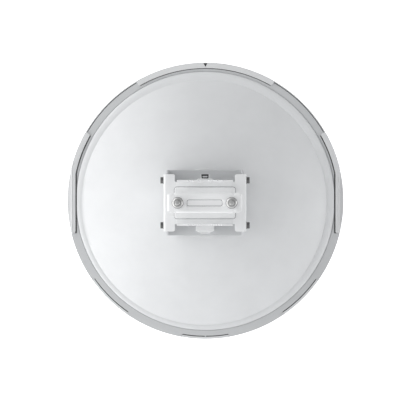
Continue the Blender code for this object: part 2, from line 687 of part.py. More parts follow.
def add_housing(shell_finish, latch_finish, carrier):
    front = BASE_WEB_BACK_Y - TOUCHING_GAP
    corners = [(HOUSING_HALF_WIDTH, HOUSING_BOTTOM_Z, HOUSING_CORNER)]
    corners += [(HOUSING_HALF_WIDTH, HOUSING_TOP_Z, HOUSING_CORNER)]
    corners += [(-HOUSING_HALF_WIDTH, HOUSING_TOP_Z, HOUSING_CORNER)]
    corners += [(-HOUSING_HALF_WIDTH, HOUSING_BOTTOM_Z, HOUSING_CORNER)]
    outline = round_corners(corners)
    middle_z = (HOUSING_TOP_Z + HOUSING_BOTTOM_Z) / 2
    half_height = (HOUSING_TOP_Z - HOUSING_BOTTOM_Z) / 2
    straight = sheet_mesh([outline], -front, -HOUSING_REAR_Y - HOUSING_EDGE)
    crown = sheet_mesh([outline], -HOUSING_REAR_Y - 2 * HOUSING_EDGE, -HOUSING_REAR_Y)
    for vertex in crown.vertices:
        if vertex.co.z > -HOUSING_REAR_Y - HOUSING_EDGE:
            vertex.co.x *= 1 - HOUSING_EDGE / HOUSING_HALF_WIDTH
            vertex.co.y = middle_z + (vertex.co.y - middle_z) * (1 - HOUSING_EDGE / half_height)
        else:
            vertex.co.z = -HOUSING_REAR_Y - HOUSING_EDGE - TOUCHING_GAP
    add_piece("rear_housing", moved(joined(straight, crown), UPRIGHT_ACROSS), shell_finish, carrier)

    latch_low = (-LATCH_HALF_WIDTH, LATCH_Y[0], HOUSING_TOP_Z + TOUCHING_GAP)
    latch_high = (LATCH_HALF_WIDTH, LATCH_Y[1], HOUSING_TOP_Z + TOUCHING_GAP + LATCH_HEIGHT)
    add_piece("release_latch", box_mesh(latch_low, latch_high), latch_finish, carrier)

    port_top = HOUSING_BOTTOM_Z - TOUCHING_GAP
    port = rounded_box(PORT_HALF_WIDTH, *PORT_Y, PORT_CORNER)
    grip_y = (PORT_Y[0] - PORT_GRIP_DEPTH, PORT_Y[0] + PORT_GRIP_DEPTH)
    grip = rounded_box(PORT_GRIP_HALF_WIDTH, *grip_y, PORT_GRIP_CORNER)
    cover = sheet_mesh([port], port_top - PORT_THICKNESS, port_top)
    notch = sheet_mesh([grip], port_top - 2 * PORT_THICKNESS, port_top + PORT_THICKNESS)
    add_piece("port_cover", cut(cover, notch), shell_finish, carrier)


def flanged_head(hex_across, flange_radius, flange_height, height):
    """A hexagon on a round flange, along local Z from 0 up to height."""
    hexagon = rod_mesh(hex_across / math.sqrt(3), flange_height / 2, height, 6)
    flange = rod_mesh(flange_radius, 0, flange_height, tip_radius=flange_radius * FLANGE_TAPER)
    return joined(flange, hexagon)


def add_tilt_bolts(finish, carrier):
    head = flanged_head(*TILT_BOLT_HEAD)
    seat_x = POLE_BRACKET_HALF_WIDTH + TOUCHING_GAP
    bolt = joined(head, rod_mesh(TILT_BOLT_RADIUS, TILT_BOLT_END_X - seat_x, TILT_BOLT_HEAD[3] / 2))
    nut_top = BASE_HALF_WIDTH - SHEET - TOUCHING_GAP
    bore = rod_mesh(TILT_BOLT_RADIUS + TOUCHING_GAP, -SHEET, 2 * TILT_NUT[3])
    nut = cut(flanged_head(*TILT_NUT), bore)
    facing = {-1: (0, math.radians(-90), 0), 1: (0, math.radians(90), 0)}
    for side, side_name in ((-1, "left"), (1, "right")):
        for z, level in ((TILT_BOLT_Z, "upper"), (-TILT_BOLT_Z, "lower")):
            name = f"{side_name}_{level}"
            head_place = (side * seat_x, TILT_AXIS_Y, z)
            nut_place = (side * nut_top, TILT_AXIS_Y, z)
            add_piece(f"tilt_bolt_{name}", bolt, finish, carrier, head_place, facing[side])
            add_piece(f"tilt_nut_{name}", nut, finish, carrier, nut_place, facing[-side])


def add_clamp_bolts(finish, bolt_carrier, nut_carrier):
    """Bolts whose round heads lie behind the pole bracket, and the nuts that draw the clamp in."""
    head_seat = POLE_WEB_BACK_Y + TOUCHING_GAP
    head = rod_mesh(CLAMP_HEAD_RADIUS, 0, CLAMP_HEAD_HEIGHT, tip_radius=CLAMP_HEAD_CROWN_RADIUS)
    bolt = joined(head, rod_mesh(CLAMP_BOLT_RADIUS, CLAMP_BOLT_END_Y - head_seat, CLAMP_HEAD_HEIGHT / 2))
    nut_seat = CLAMP_OUTER_Y - TOUCHING_GAP
    bore = rod_mesh(CLAMP_BOLT_RADIUS + TOUCHING_GAP, -SHEET, 2 * CLAMP_NUT[3])
    nut = cut(flanged_head(*CLAMP_NUT), bore)
    facing_mast = (math.radians(90), 0, 0)
    for x, side_name in ((-CLAMP_BOLT_X, "left"), (CLAMP_BOLT_X, "right")):
        add_piece(f"clamp_bolt_{side_name}", bolt, finish, bolt_carrier, (x, head_seat, 0), FACING_Y)
        add_piece(f"clamp_nut_{side_name}", nut, finish, nut_carrier, (x, nut_seat, 0), facing_mast)


clear_scene()
parts = add_collection("parabolic_dish_antenna")
cutters = add_collection("cutters")

mount_carrier = add_carrier("pole_mount", 0)
tilt_carrier = add_carrier("tilt_axis", TILT_AXIS_Y)
clamp_carrier = add_carrier("clamp_slide", CLAMP_INNER_Y)

white_coat = add_material("white_powder_coat", (0.86, 0.87, 0.88), 0.45)
white_plastic = add_material("white_plastic", (0.84, 0.85, 0.86), 0.4)
bracket_coat = add_material("bracket_coat", (0.8, 0.81, 0.82), 0.5)
bright_zinc = add_material("bright_zinc", (0.6, 0.6, 0.58), 0.35, 1.0)
dark_zinc = add_material("dark_zinc", (0.18, 0.18, 0.18), 0.4, 1.0)
black_plastic = add_material("black_plastic", (0.02, 0.02, 0.02), 0.5)

add_reflector(white_coat, tilt_carrier)
add_shroud(white_plastic, tilt_carrier)
add_cover(white_plastic, tilt_carrier)
add_clips(white_plastic, tilt_carrier)
add_hub(white_plastic, tilt_carrier)
add_base_bracket(bracket_coat, tilt_carrier)
add_hub_screws(bright_zinc, tilt_carrier)
add_housing(white_plastic, black_plastic, tilt_carrier)
add_pole_bracket(bracket_coat, mount_carrier)
add_tilt_bolts(dark_zinc, mount_carrier)
add_clamp_bolts(bright_zinc, mount_carrier, clamp_carrier)
add_pole_clamp(bracket_coat, clamp_carrier)
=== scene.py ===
"""The looks of a pole-mounted parabolic dish antenna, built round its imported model.

Metres, +Z up. The dish looks along +Y, and the photograph sees it from behind, looking along +Y.
Rim angles are in degrees, clockwise from the top as seen from behind.
"""

import math

import bmesh
import bpy
from mathutils import Matrix, Vector


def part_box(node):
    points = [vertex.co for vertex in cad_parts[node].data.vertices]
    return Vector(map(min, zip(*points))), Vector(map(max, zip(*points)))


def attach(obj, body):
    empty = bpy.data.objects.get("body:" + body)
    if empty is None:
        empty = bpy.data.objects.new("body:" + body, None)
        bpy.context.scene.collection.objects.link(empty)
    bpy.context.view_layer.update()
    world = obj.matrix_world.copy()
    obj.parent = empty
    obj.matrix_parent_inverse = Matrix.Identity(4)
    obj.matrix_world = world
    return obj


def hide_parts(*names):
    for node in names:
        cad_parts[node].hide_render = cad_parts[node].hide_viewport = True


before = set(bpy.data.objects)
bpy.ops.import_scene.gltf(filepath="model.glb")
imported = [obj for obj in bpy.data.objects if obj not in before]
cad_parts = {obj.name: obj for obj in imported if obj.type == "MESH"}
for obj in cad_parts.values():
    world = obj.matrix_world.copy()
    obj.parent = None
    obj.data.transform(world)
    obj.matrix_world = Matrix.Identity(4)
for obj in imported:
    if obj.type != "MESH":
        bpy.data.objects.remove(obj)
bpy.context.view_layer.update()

MM = 0.001
TOUCHING_GAP = 0.3 * MM

# Reflector
REFLECTOR_REAR_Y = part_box("dish_reflector")[0].y
REFLECTOR_THICKNESS = 2.0 * MM
FLANGE_REAR_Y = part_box("dish_reflector")[1].y - REFLECTOR_THICKNESS
VERTEX_FLAT_RADIUS = 60.0 * MM
VERTEX_BLEND = 5.0 * MM
BOWL_EVEN_FROM = 75.0 * MM
BOWL_RADIUS = 203.0 * MM
BOWL_DEPTH = 61.6 * MM
BEAD_INNER_RADIUS = 203.0 * MM
BEAD_OUTER_RADIUS = 214.3 * MM
BEAD_INNER_HEIGHT = FLANGE_REAR_Y - REFLECTOR_REAR_Y - BOWL_DEPTH
BEAD_TURN = 62.0
BEAD_TURN_SWING = 20.0
BEAD_STEEPEST = 80.0
FOOT_GROOVE_WIDTH = 1.4 * MM
FOOT_GROOVE_DEPTH = 1.0 * MM
FLANGE_EDGE_RADIUS = 0.6 * MM

# Rim outline: where each stretch of the flange starts, and how far it reaches
RIM_LOW, RIM_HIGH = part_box("shroud_ring")
RIM_RADIUS = RIM_HIGH.x
RIM_Z = (RIM_LOW.z + RIM_HIGH.z) / 2
RIM_PLACE = Matrix.Translation((0, 0, RIM_Z))
FLANGE_FULL_RADIUS = RIM_RADIUS - 0.2 * MM
FLANGE_GAP_RADIUS = RIM_RADIUS - 3.3 * MM
FLANGE_NOTCH_RADIUS = RIM_RADIUS - 5.4 * MM
FLANGE_UNDER_CLIP_RADIUS = RIM_RADIUS - 4.0 * MM
GAP_LIP_RADIUS = RIM_RADIUS - 2.0 * MM
NOTCH_LIP_RADIUS = RIM_RADIUS - 4.0 * MM
LIP_RISE = 1.7 * MM
GAP_SHADOW_WIDTH = 2.4 * MM
CREASE_SHIFT = (-1.9 * MM, -2.8 * MM)
SIDE_FLAT_X = 213.9 * MM
SIDE_FLAT_BOTTOM = 103.9
TOP_CLIP_END = 30.0
SIDE_CLIP_START = 60.0
LOWER_NOTCH = (125.0, 145.5)
BOTTOM_NOTCH_START = 170.0
STEP_BLEND = 0.3
LIP_SPANS = (
    (TOP_CLIP_END, SIDE_CLIP_START, GAP_LIP_RADIUS),
    (*LOWER_NOTCH, NOTCH_LIP_RADIUS),
    (BOTTOM_NOTCH_START, 181.0, NOTCH_LIP_RADIUS),
)

# Clips that hook the shroud over the flange
CLIP_REAR_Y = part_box("rim_clip_top")[0].y
CLIP_INNER_RADIUS = 220.1 * MM
CLIP_EDGE_RADIUS = 0.7 * MM
CLIP_CORNER = 3.0 * MM
TOP_SHADOW_LINE_WIDTH = 1.0 * MM
SIDE_SHADOW_LINE_WIDTH = 1.6 * MM
FLAT_SHADOW_LINE_WIDTH = 1.8 * MM
SIDE_CLIP_INNER_X = 215.6 * MM
SIDE_CLIP_OUTER_X = 222.9 * MM
SIDE_CLIP_BOTTOM_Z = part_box("rim_clip_left")[0].z - RIM_Z
SIDE_RIB_WIDTH = 1.5 * MM
SIDE_RIB_HEIGHT = 0.8 * MM

# Shroud and radome
SHROUD_REAR_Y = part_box("shroud_ring")[0].y
SHROUD_FRONT_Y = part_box("shroud_ring")[1].y
SHROUD_WALL = 2.2 * MM
SHROUD_LIP_RADIUS = 216.0 * MM
SHROUD_LIP_THICKNESS = 2.2 * MM
SHROUD_FRONT_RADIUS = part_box("radome_cover")[1].x
RADOME_APEX_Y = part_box("radome_cover")[1].y
RADOME_EDGE_RADIUS = 6.0 * MM
RADOME_THICKNESS = 2.4 * MM
RADOME_SKIRT = 7.0 * MM

# Sheet metal
SHEET = 2.5 * MM
SIDE_BEND_INSIDE = 1.6 * MM
GRIP_BEND_INSIDE = 0.8 * MM
SHEET_EDGE = 0.6 * MM

# Pole bracket
POLE_HALF_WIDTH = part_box("pole_bracket")[1].x
POLE_HALF_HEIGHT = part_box("pole_bracket")[1].z
POLE_WEB_FRONT_Y = 1.8 * MM
POLE_FLANGE_END_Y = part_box("pole_bracket")[1].y
POLE_FLANGE_CORNER = 10.0 * MM
WEB_HALF_HEIGHT = 36.0 * MM
TAB_INNER_X = 47.3 * MM
TAB_CORNER = 3.0 * MM
PANEL_HALF_WIDTH = 48.0 * MM
PANEL_HALF_HEIGHT = 24.8 * MM
PANEL_CORNER = 4.0 * MM
PANEL_SLOPE = 1.2 * MM
PANEL_SHADOW_WIDTH = 0.9 * MM
THIN_PLATE_THICKNESS = 0.2 * MM
THIN_PLATE_EDGE = 0.05 * MM
GRIP_HALF_WIDTH = 44.0 * MM
GRIP_TIP = 14.0 * MM
GRIP_APEX = 4.0 * MM
NOTCH_HALF_WIDTH = 29.0 * MM
NOTCH_FLOOR = 5.0 * MM
TOOTH_COUNT = 6
TOOTH_HEIGHT = 1.7 * MM
NOTCH_SLOPE = math.atan2(GRIP_TIP - GRIP_APEX, NOTCH_HALF_WIDTH)
RELIEF_DEPTH = 0.4 * MM

# Pole clamp
CLAMP_LOW, CLAMP_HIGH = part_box("pole_clamp")
CLAMP_HALF_WIDTH = CLAMP_HIGH.x
CLAMP_HALF_HEIGHT = CLAMP_HIGH.z
CLAMP_OUTER_Y = CLAMP_LOW.y
CLAMP_END_DEPTH = 8.0 * MM
CLAMP_END_HALF_HEIGHT = 13.0 * MM
CLAMP_BEAD = (28.5 * MM, 6.1 * MM)
CLAMP_BEAD_CORNER = 2.5 * MM
CLAMP_BEAD_DEPTH = 1.5 * MM
CLAMP_BEAD_SLOPE = 1.0 * MM
RECESS_SHADOW_WIDTH = 0.8 * MM
CLAMP_BOLT_X = 41.5 * MM
CLAMP_BOLT_RADIUS = 4.0 * MM
CLAMP_BOLT_HOLE = 4.7 * MM
CLAMP_BOLT_PITCH = 1.25 * MM
CLAMP_BOLT_END_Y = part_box("clamp_bolt_left")[0].y
CLAMP_THREAD_END_Y = -20.0 * MM

# Base bracket
BASE_LOW, BASE_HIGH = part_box("base_bracket")
BASE_HALF_WIDTH = BASE_HIGH.x
BASE_HALF_HEIGHT = BASE_HIGH.z
BASE_WEB_FRONT_Y = BASE_HIGH.y
BASE_FLANGE_END_Y = BASE_LOW.y
BASE_FLANGE_TIP_Z = 43.0 * MM
BASE_FLANGE_SHOULDER_Y = 50.0 * MM
BASE_FLANGE_CORNER = 7.0 * MM

# Tilt bolts and their slots
TILT_AXIS_Y = 35.0 * MM
TILT_LIMIT = 15.0
TILT_SLOT_SPARE = 0.6
TILT_BOLT_Z = 36.0 * MM
TILT_BOLT_RADIUS = 3.0 * MM
TILT_BOLT_HOLE = 3.4 * MM
TILT_BOLT_PITCH = 1.0 * MM
TILT_BOLT_END_X = 51.0 * MM

# Flanged hexagons: across the flats, flange radius, flange height and whole height
TILT_HEAD = (10.0 * MM, 6.6 * MM, 1.5 * MM, 5.6 * MM)
TILT_NUT = (10.0 * MM, 6.6 * MM, 1.5 * MM, 6.0 * MM)
CLAMP_NUT = (13.0 * MM, 8.4 * MM, 1.8 * MM, 8.0 * MM)
CLAMP_WASHER_RADIUS = 8.9 * MM
CLAMP_HEAD_RADIUS = 9.5 * MM
CLAMP_HEAD_HEIGHT = 4.5 * MM
CLAMP_NECK_HALF = 4.0 * MM

# Hub, screws and housing
HUB_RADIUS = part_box("hub_boss")[1].x
HUB_REAR_Y, HUB_FRONT_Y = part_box("hub_boss")[0].y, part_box("hub_boss")[1].y
HUB_SCREW_X = 27.0 * MM
HUB_SCREW_Z = 22.0 * MM
HUB_SCREW_HOLE = 2.9 * MM
HUB_SCREW_HEAD_RADIUS = 5.0 * MM
HUB_SCREW_HEAD = 3.2 * MM
HUB_SCREW_SOCKET = 2.2 * MM
HOUSING_LOW, HOUSING_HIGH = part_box("rear_housing")
HOUSING_CORNER = 5.0 * MM
HOUSING_CHAMFER = (5.5 * MM, 2.6 * MM)
HOUSING_EDGE = 1.0 * MM
LATCH_LOW, LATCH_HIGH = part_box("release_latch")
LATCH_FOOT_HALF_WIDTH = 4.9 * MM
LATCH_BAR = 1.5 * MM
GUIDE_X = 7.4 * MM
GUIDE_THICKNESS = 1.1 * MM
PORT_LOW, PORT_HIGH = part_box("port_cover")
PORT_GRIP_HALF_WIDTH = 3.5 * MM
PORT_GRIP_DEPTH = 2.0 * MM

# Sizes and powers of the stage, the lights and the camera
FLOOR_Z = -1.6
FLOOR_HALF = 12.0
BACKDROP_Y = 4.5
BACKDROP_HALF = 3.0
BACKDROP_GLOW = 1.1
CAMERA_DISTANCE = 2.6
CAMERA_LENS = 141.0
CAMERA_AZIMUTH = 0.35
CAMERA_ELEVATION = 0.0
AIM_OFFSET = (-8.96 * MM, 1.33 * MM)
WORLD_STRENGTH = 0.35
FLOOR_GLOW = 0.2
SOFTBOX_DISTANCE = 2.2
SOFTBOX_SIZE = (1.6, 1.6)

# Softboxes: name, the way each stands from the dish, and its power in watts
SOFTBOXES = (
    ("left_mid", (-0.8, -0.6, 0.0), 8.5),
    ("left_low", (-0.95, -0.31, 0.0), 6.5),
    ("left_up", (-0.7, -0.34, 0.62), 16.0),
    ("left_down_graze", (-0.76, -0.19, -0.62), 17.0),
    ("right_graze", (0.985, -0.17, 0.0), 16.5),
    ("top_graze", (0.0, -0.2, 0.98), 3.5),
    ("bottom_graze", (0.1, -0.2, -0.98), 2.5),
    ("bottom_front", (0.0, -0.8, -0.6), 2.5),
)

ROUND_STEPS = 360
SMALL_ROUND_STEPS = 72
THREAD_SIDES = 32
ROWS_A_TURN = 6

TOWARDS_CAMERA = Matrix.Rotation(math.radians(90), 4, "X")


# Finishes

def add_node(nodes, kind, **values):
    node = nodes.new(kind)
    for name, value in values.items():
        node.inputs[name].default_value = value
    return node


def add_finish(name, colour, roughness, metallic=0.0, mottle=0.02, grain=1400.0, relief=0.012):
    """A finish with a slow mottle of colour, and a fine grain of roughness and relief, in millimetres."""
    finish = bpy.data.materials.new(name)
    finish.use_nodes = True
    nodes, links = finish.node_tree.nodes, finish.node_tree.links
    shader = nodes["Principled BSDF"]
    shader.inputs["Metallic"].default_value = metallic
    place = nodes.new("ShaderNodeTexCoord")
    slow = add_node(nodes, "ShaderNodeTexNoise", Scale=24.0, Detail=3.0, Roughness=0.6)
    fine = add_node(nodes, "ShaderNodeTexNoise", Scale=grain, Detail=2.0, Roughness=0.5)
    links.new(place.outputs["Object"], slow.inputs["Vector"])
    links.new(place.outputs["Object"], fine.inputs["Vector"])
    tint = nodes.new("ShaderNodeValToRGB")
    tint.color_ramp.elements[0].position = 0.3
    tint.color_ramp.elements[1].position = 0.7
    tint.color_ramp.elements[0].color = (*[part * (1 - mottle) for part in colour], 1.0)
    tint.color_ramp.elements[1].color = (*[min(1.0, part * (1 + mottle)) for part in colour], 1.0)
    links.new(slow.outputs["Fac"], tint.inputs["Fac"])
    links.new(tint.outputs["Color"], shader.inputs["Base Color"])
    gloss = nodes.new("ShaderNodeMapRange")
    gloss.inputs["To Min"].default_value = roughness * 0.85
    gloss.inputs["To Max"].default_value = roughness * 1.15
    links.new(fine.outputs["Fac"], gloss.inputs["Value"])
    links.new(gloss.outputs["Result"], shader.inputs["Roughness"])
    bump = add_node(nodes, "ShaderNodeBump", Strength=1.0, Distance=relief * MM)
    links.new(fine.outputs["Fac"], bump.inputs["Height"])
    links.new(bump.outputs["Normal"], shader.inputs["Normal"])
    return finish


COATED_SHEET = {"grain": 1100.0, "relief": 0.02}
MOULDED = {"grain": 2200.0, "relief": 0.008}
ZINC = {"grain": 900.0}

# Each finish: colour, roughness and the rest. Tones that aren't a material slot are fitted to the photograph
# and paint light and shade: the flange and base tones are darker copies that paint shade, the clamp and
# housing tones are brighter copies that paint light, and the dark grey tone paints the shadow lines round
# pressed panels.
FINISHES = {name: add_finish(name, *look, **more) for name, look, more in (
    ("white_powder_coat", ((0.8, 0.808, 0.816), 0.45), {}),
    ("flange_shaded_coat", ((0.62, 0.628, 0.636), 0.45), {}),
    ("white_plastic", ((0.76, 0.765, 0.77), 0.5), MOULDED),
    ("housing_lit_plastic", ((0.93, 0.935, 0.94), 0.5), MOULDED),
    ("bracket_coat", ((0.92, 0.925, 0.93), 0.5), COATED_SHEET),
    ("clamp_lit_coat", ((0.96, 0.965, 0.97), 0.5), COATED_SHEET),
    ("base_shaded_coat", ((0.64, 0.65, 0.66), 0.5), COATED_SHEET),
    ("painted_shadow_line", ((0.3, 0.305, 0.31), 0.6), COATED_SHEET),
    ("bright_zinc", ((0.6, 0.6, 0.595), 0.4, 0.7, 0.08), ZINC),
    ("dark_zinc", ((0.16, 0.16, 0.16), 0.34, 0.9, 0.15), ZINC),
    ("black_plastic", ((0.02, 0.02, 0.021), 0.5), {"grain": 1800.0}),
)}


# Mesh tools

def finished(form, smooth_angle=35.0):
    """The form as a mesh, welded, facing out and shaded smooth up to the angle."""
    bmesh.ops.remove_doubles(form, verts=form.verts, dist=0.001 * MM)
    bmesh.ops.recalc_face_normals(form, faces=form.faces)
    mesh = bpy.data.meshes.new("piece")
    form.to_mesh(mesh)
    form.free()
    mesh.shade_smooth()
    mesh.set_sharp_from_angle(angle=math.radians(smooth_angle))
    return mesh


def moved(mesh, matrix):
    mesh.transform(matrix)
    return mesh


def add_piece(name, mesh, slot, body, *nodes, finish=None):
    """A piece that rides on a body, wears its slot's finish or another tone, and stands for the nodes."""
    mesh.materials.clear()
    mesh.materials.append(FINISHES[finish or slot])
    piece = bpy.data.objects.new(name, mesh)
    bpy.context.scene.collection.objects.link(piece)
    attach(piece, body)
    if nodes:
        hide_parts(*nodes)
    return piece


def merged(*meshes):
    form = bmesh.new()
    for mesh in meshes:
        form.from_mesh(mesh)
    mesh = bpy.data.meshes.new("piece")
    form.to_mesh(mesh)
    form.free()
    return mesh


def grid_form(rows, around=True, capped=False):
    """Faces between rows of points. Each row closes on itself if around, and capped fills the end rows."""
    form = bmesh.new()
    grid = [[form.verts.new(point) for point in row] for row in rows]
    count = len(rows[0])
    for near, far in zip(grid, grid[1:]):
        for j in range(count if around else count - 1):
            k = (j + 1) % count
            form.faces.new((near[j], near[k], far[k], far[j]))
    if capped:
        form.faces.new(grid[0])
        form.faces.new(grid[-1][::-1])
    return form


def polar(radius, degrees, y):
    """A point at a rim angle, clockwise from the top as seen from behind."""
    angle = math.radians(degrees)
    return (radius * math.sin(angle), y, radius * math.cos(angle))


def smooth_step(value):
    value = min(1.0, max(0.0, value))
    return value * value * (3 - 2 * value)


def arc_points(centre, radius, start, end, steps):
    points = []
    for k in range(steps + 1):
        turn = math.radians(start + (end - start) * k / steps)
        points.append((centre[0] + radius * math.cos(turn), centre[1] + radius * math.sin(turn)))
    return points


def turned_mesh(profile, closed=False, steps=ROUND_STEPS):
    """A profile of (radius, y) points turned about the dish's axis."""
    rows = [[polar(radius, 360 * k / steps, y) for k in range(steps)] for radius, y in profile]
    if closed:
        rows.append(rows[0])
    return finished(grid_form(rows))


def round_corners(corners, steps=6):
    """An outline through corners (x, y, radius), each rounded to its radius where that isn't 0."""
    outline = []
    for i, (x, y, radius) in enumerate(corners):
        if not radius:
            outline.append((x, y))
            continue
        here = Vector((x, y))
        before = (Vector(corners[i - 1][:2]) - here).normalized()
        after = (Vector(corners[(i + 1) % len(corners)][:2]) - here).normalized()
        half = before.angle(after) / 2
        centre = here + (before + after).normalized() * radius / math.sin(half)
        first = here + before * radius / math.tan(half) - centre
        last = here + after * radius / math.tan(half) - centre
        start = math.atan2(first.y, first.x)
        turn = (math.atan2(last.y, last.x) - start + math.pi) % (2 * math.pi) - math.pi
        for k in range(steps + 1):
            angle = start + turn * k / steps
            outline.append((centre.x + radius * math.cos(angle), centre.y + radius * math.sin(angle)))
    return outline


def four_fold(quarter):
    """An outline from its quarter, which runs from above the middle round to the right of it."""
    right = quarter + [(x, -y, *rest) for x, y, *rest in reversed(quarter) if y > 0.01 * MM]
    return right + [(-x, y, *rest) for x, y, *rest in reversed(right) if x > 0.01 * MM]


def circle(x, y, radius, steps=SMALL_ROUND_STEPS // 2):
    return arc_points((x, y), radius, 0, 360 * (steps - 1) / steps, steps - 1)


def ring(radius, z, steps):
    """A round row about the Z axis. The radius may be a function of the degrees, and z of the radius."""
    row = []
    for k in range(steps):
        turn = 2 * math.pi * k / steps
        reach = radius(360 * k / steps) if callable(radius) else radius
        row.append((reach * math.cos(turn), reach * math.sin(turn), z(reach) if callable(z) else z))
    return row


def plate_form(outlines, thickness, edge=SHEET_EDGE, edge_steps=2):
    """A plate with rounded edges, in local XY about Z 0. Inner outlines are holes."""
    curve = bpy.data.curves.new("plate", "CURVE")
    curve.dimensions = "2D"
    curve.fill_mode = "BOTH"
    curve.extrude = thickness / 2 - edge
    curve.bevel_depth = edge
    curve.bevel_resolution = edge_steps
    curve.offset = -edge
    for outline in outlines:
        spline = curve.splines.new("POLY")
        spline.points.add(len(outline) - 1)
        spline.use_cyclic_u = True
        for point, (x, y) in zip(spline.points, outline):
            point.co = (x, y, 0, 1)
    drawn = bpy.data.objects.new("plate", curve)
    bpy.context.scene.collection.objects.link(drawn)
    graph = bpy.context.evaluated_depsgraph_get()
    mesh = bpy.data.meshes.new_from_object(drawn.evaluated_get(graph))
    bpy.data.objects.remove(drawn)
    form = bmesh.new()
    form.from_mesh(mesh)
    bmesh.ops.remove_doubles(form, verts=form.verts, dist=0.001 * MM)
    bmesh.ops.dissolve_limit(form, angle_limit=0.001, verts=form.verts, edges=form.edges)
    bmesh.ops.recalc_face_normals(form, faces=form.faces)
    return form


def slice_form(form, axis, places):
    """Cuts edges across the form at places along an axis, so that it can bend there."""
    normal = Vector((0, 0, 0))
    normal[axis] = 1
    for place in places:
        geometry = form.verts[:] + form.edges[:] + form.faces[:]
        bmesh.ops.bisect_plane(form, geom=geometry, plane_co=normal * place, plane_no=normal)


def unfolded(bend_start, depth, inside):
    """How far out on the flat blank a point lies that ends up depth from the web's middle plane."""
    middle = inside + SHEET / 2
    return bend_start + middle * math.pi / 2 + depth - middle


def bend(form, axis, start, way, inside, within=math.inf, steps=8):
    """Folds both ends of the blank square: beyond start on the axis, towards way on Z, inside a band."""
    middle = inside + SHEET / 2
    arc = middle * math.pi / 2
    cuts = [start + arc * k / steps for k in range(steps + 1)]
    slice_form(form, axis, cuts + [-cut for cut in cuts])
    for vertex in form.verts:
        side = math.copysign(1, vertex.co[axis])
        beyond = side * vertex.co[axis] - start
        if beyond <= 0 or abs(vertex.co[1 - axis]) > within:
            continue
        turn = min(beyond, arc) / middle
        straight = max(0.0, beyond - arc)
        reach = middle - way * vertex.co.z
        vertex.co[axis] = side * (start + reach * math.sin(turn) + straight * math.cos(turn))
        vertex.co.z = way * (middle - reach * math.cos(turn) + straight * math.sin(turn))


def press(form, half_width, half_height, corner, slope, depth, steps=10):
    """Presses a rounded rectangle out of the plate by depth along Z, with sides that are slope wide."""
    reach = max(corner, slope)
    for axis, half in ((0, half_width), (1, half_height)):
        cuts = [half - reach * k / steps for k in range(steps + 1)]
        slice_form(form, axis, cuts + [-cut for cut in cuts])
    for vertex in form.verts:
        over_x = abs(vertex.co.x) - half_width + corner
        over_y = abs(vertex.co.y) - half_height + corner
        outside = math.hypot(max(over_x, 0), max(over_y, 0)) + min(max(over_x, over_y), 0) - corner
        vertex.co.z += depth * smooth_step(-outside / slope)


# Reflector, clips, shroud and radome

def bowl_y(radius):
    """The reflector's rear surface: a flat middle, a soft turn and then a parabola."""
    spread = BOWL_RADIUS**2 - VERTEX_FLAT_RADIUS**2
    inner, outer = VERTEX_FLAT_RADIUS - VERTEX_BLEND, VERTEX_FLAT_RADIUS + VERTEX_BLEND
    if radius <= inner:
        return REFLECTOR_REAR_Y
    if radius < outer:
        end = BOWL_DEPTH * (outer**2 - VERTEX_FLAT_RADIUS**2) / spread
        return REFLECTOR_REAR_Y + end * ((radius - inner) / (outer - inner)) ** 2
    return REFLECTOR_REAR_Y + BOWL_DEPTH * (radius**2 - VERTEX_FLAT_RADIUS**2) / spread


def flange_radius(degrees):
    """How far the flange reaches at a rim angle. Each stretch runs smoothly into the next."""
    turn = abs((degrees + 180) % 360 - 180)
    stretches = [
        (TOP_CLIP_END, FLANGE_GAP_RADIUS),
        (SIDE_CLIP_START, FLANGE_UNDER_CLIP_RADIUS),
        (SIDE_FLAT_BOTTOM, FLANGE_FULL_RADIUS),
        (LOWER_NOTCH[0], FLANGE_NOTCH_RADIUS),
        (LOWER_NOTCH[1], FLANGE_FULL_RADIUS),
        (BOTTOM_NOTCH_START, FLANGE_NOTCH_RADIUS),
    ]
    flat = SIDE_FLAT_X / max(0.5, math.sin(math.radians(turn)))
    radius = FLANGE_UNDER_CLIP_RADIUS
    for start, level in stretches:
        if start == SIDE_FLAT_BOTTOM:
            radius = min(radius, flat)
        radius += (level - radius) * smooth_step((turn - start) / STEP_BLEND + 0.5)
    if SIDE_CLIP_START < turn < SIDE_FLAT_BOTTOM:
        radius = min(radius, flat)
    return radius


def rim_angles():
    """Every rim angle that a ring has a column at: each degree, and closer where the flange steps."""
    steps = [TOP_CLIP_END, SIDE_CLIP_START, SIDE_FLAT_BOTTOM, *LOWER_NOTCH, BOTTOM_NOTCH_START]
    angles = set(range(-179, 181))
    for step in steps:
        for k in range(-5, 6):
            near = step + STEP_BLEND * k / 8
            angles |= {near, -near}
    return sorted(angles)


def bead_point(degrees, share):
    """A point (radius, y) of the bead at a rim angle, a share of the way from its inner edge to its foot."""
    start = BEAD_TURN - BEAD_TURN_SWING * math.cos(math.radians(degrees - BEAD_STEEPEST))
    turn = math.radians(start + (180 - start) * share)
    half_width = (BEAD_OUTER_RADIUS - BEAD_INNER_RADIUS) / (1 + math.cos(math.radians(start)))
    height = BEAD_INNER_HEIGHT / math.sin(math.radians(start))
    return BEAD_OUTER_RADIUS - half_width * (1 + math.cos(turn)), FLANGE_REAR_Y - height * math.sin(turn)


def reflector_profile(degrees):
    """The rear surface at a rim angle, from the middle to past the bead's foot, as (radius, y)."""
    radii = [VERTEX_FLAT_RADIUS * k / 12 for k in range(11)]
    radii += [VERTEX_FLAT_RADIUS + VERTEX_BLEND * k / 4 for k in range(-3, 5)]
    radii += [BOWL_EVEN_FROM + (BOWL_RADIUS - BOWL_EVEN_FROM) * k / 26 for k in range(26)]
    profile = [(radius, bowl_y(radius)) for radius in radii]
    bead_steps = 18
    for k in range(bead_steps + 1):
        profile.append(bead_point(degrees, k / bead_steps))
    groove_y = FLANGE_REAR_Y + FOOT_GROOVE_DEPTH
    profile.append((BEAD_OUTER_RADIUS + 0.2 * FOOT_GROOVE_WIDTH, groove_y))
    profile.append((BEAD_OUTER_RADIUS + 0.8 * FOOT_GROOVE_WIDTH, groove_y))
    profile.append((BEAD_OUTER_RADIUS + FOOT_GROOVE_WIDTH, FLANGE_REAR_Y))
    return profile


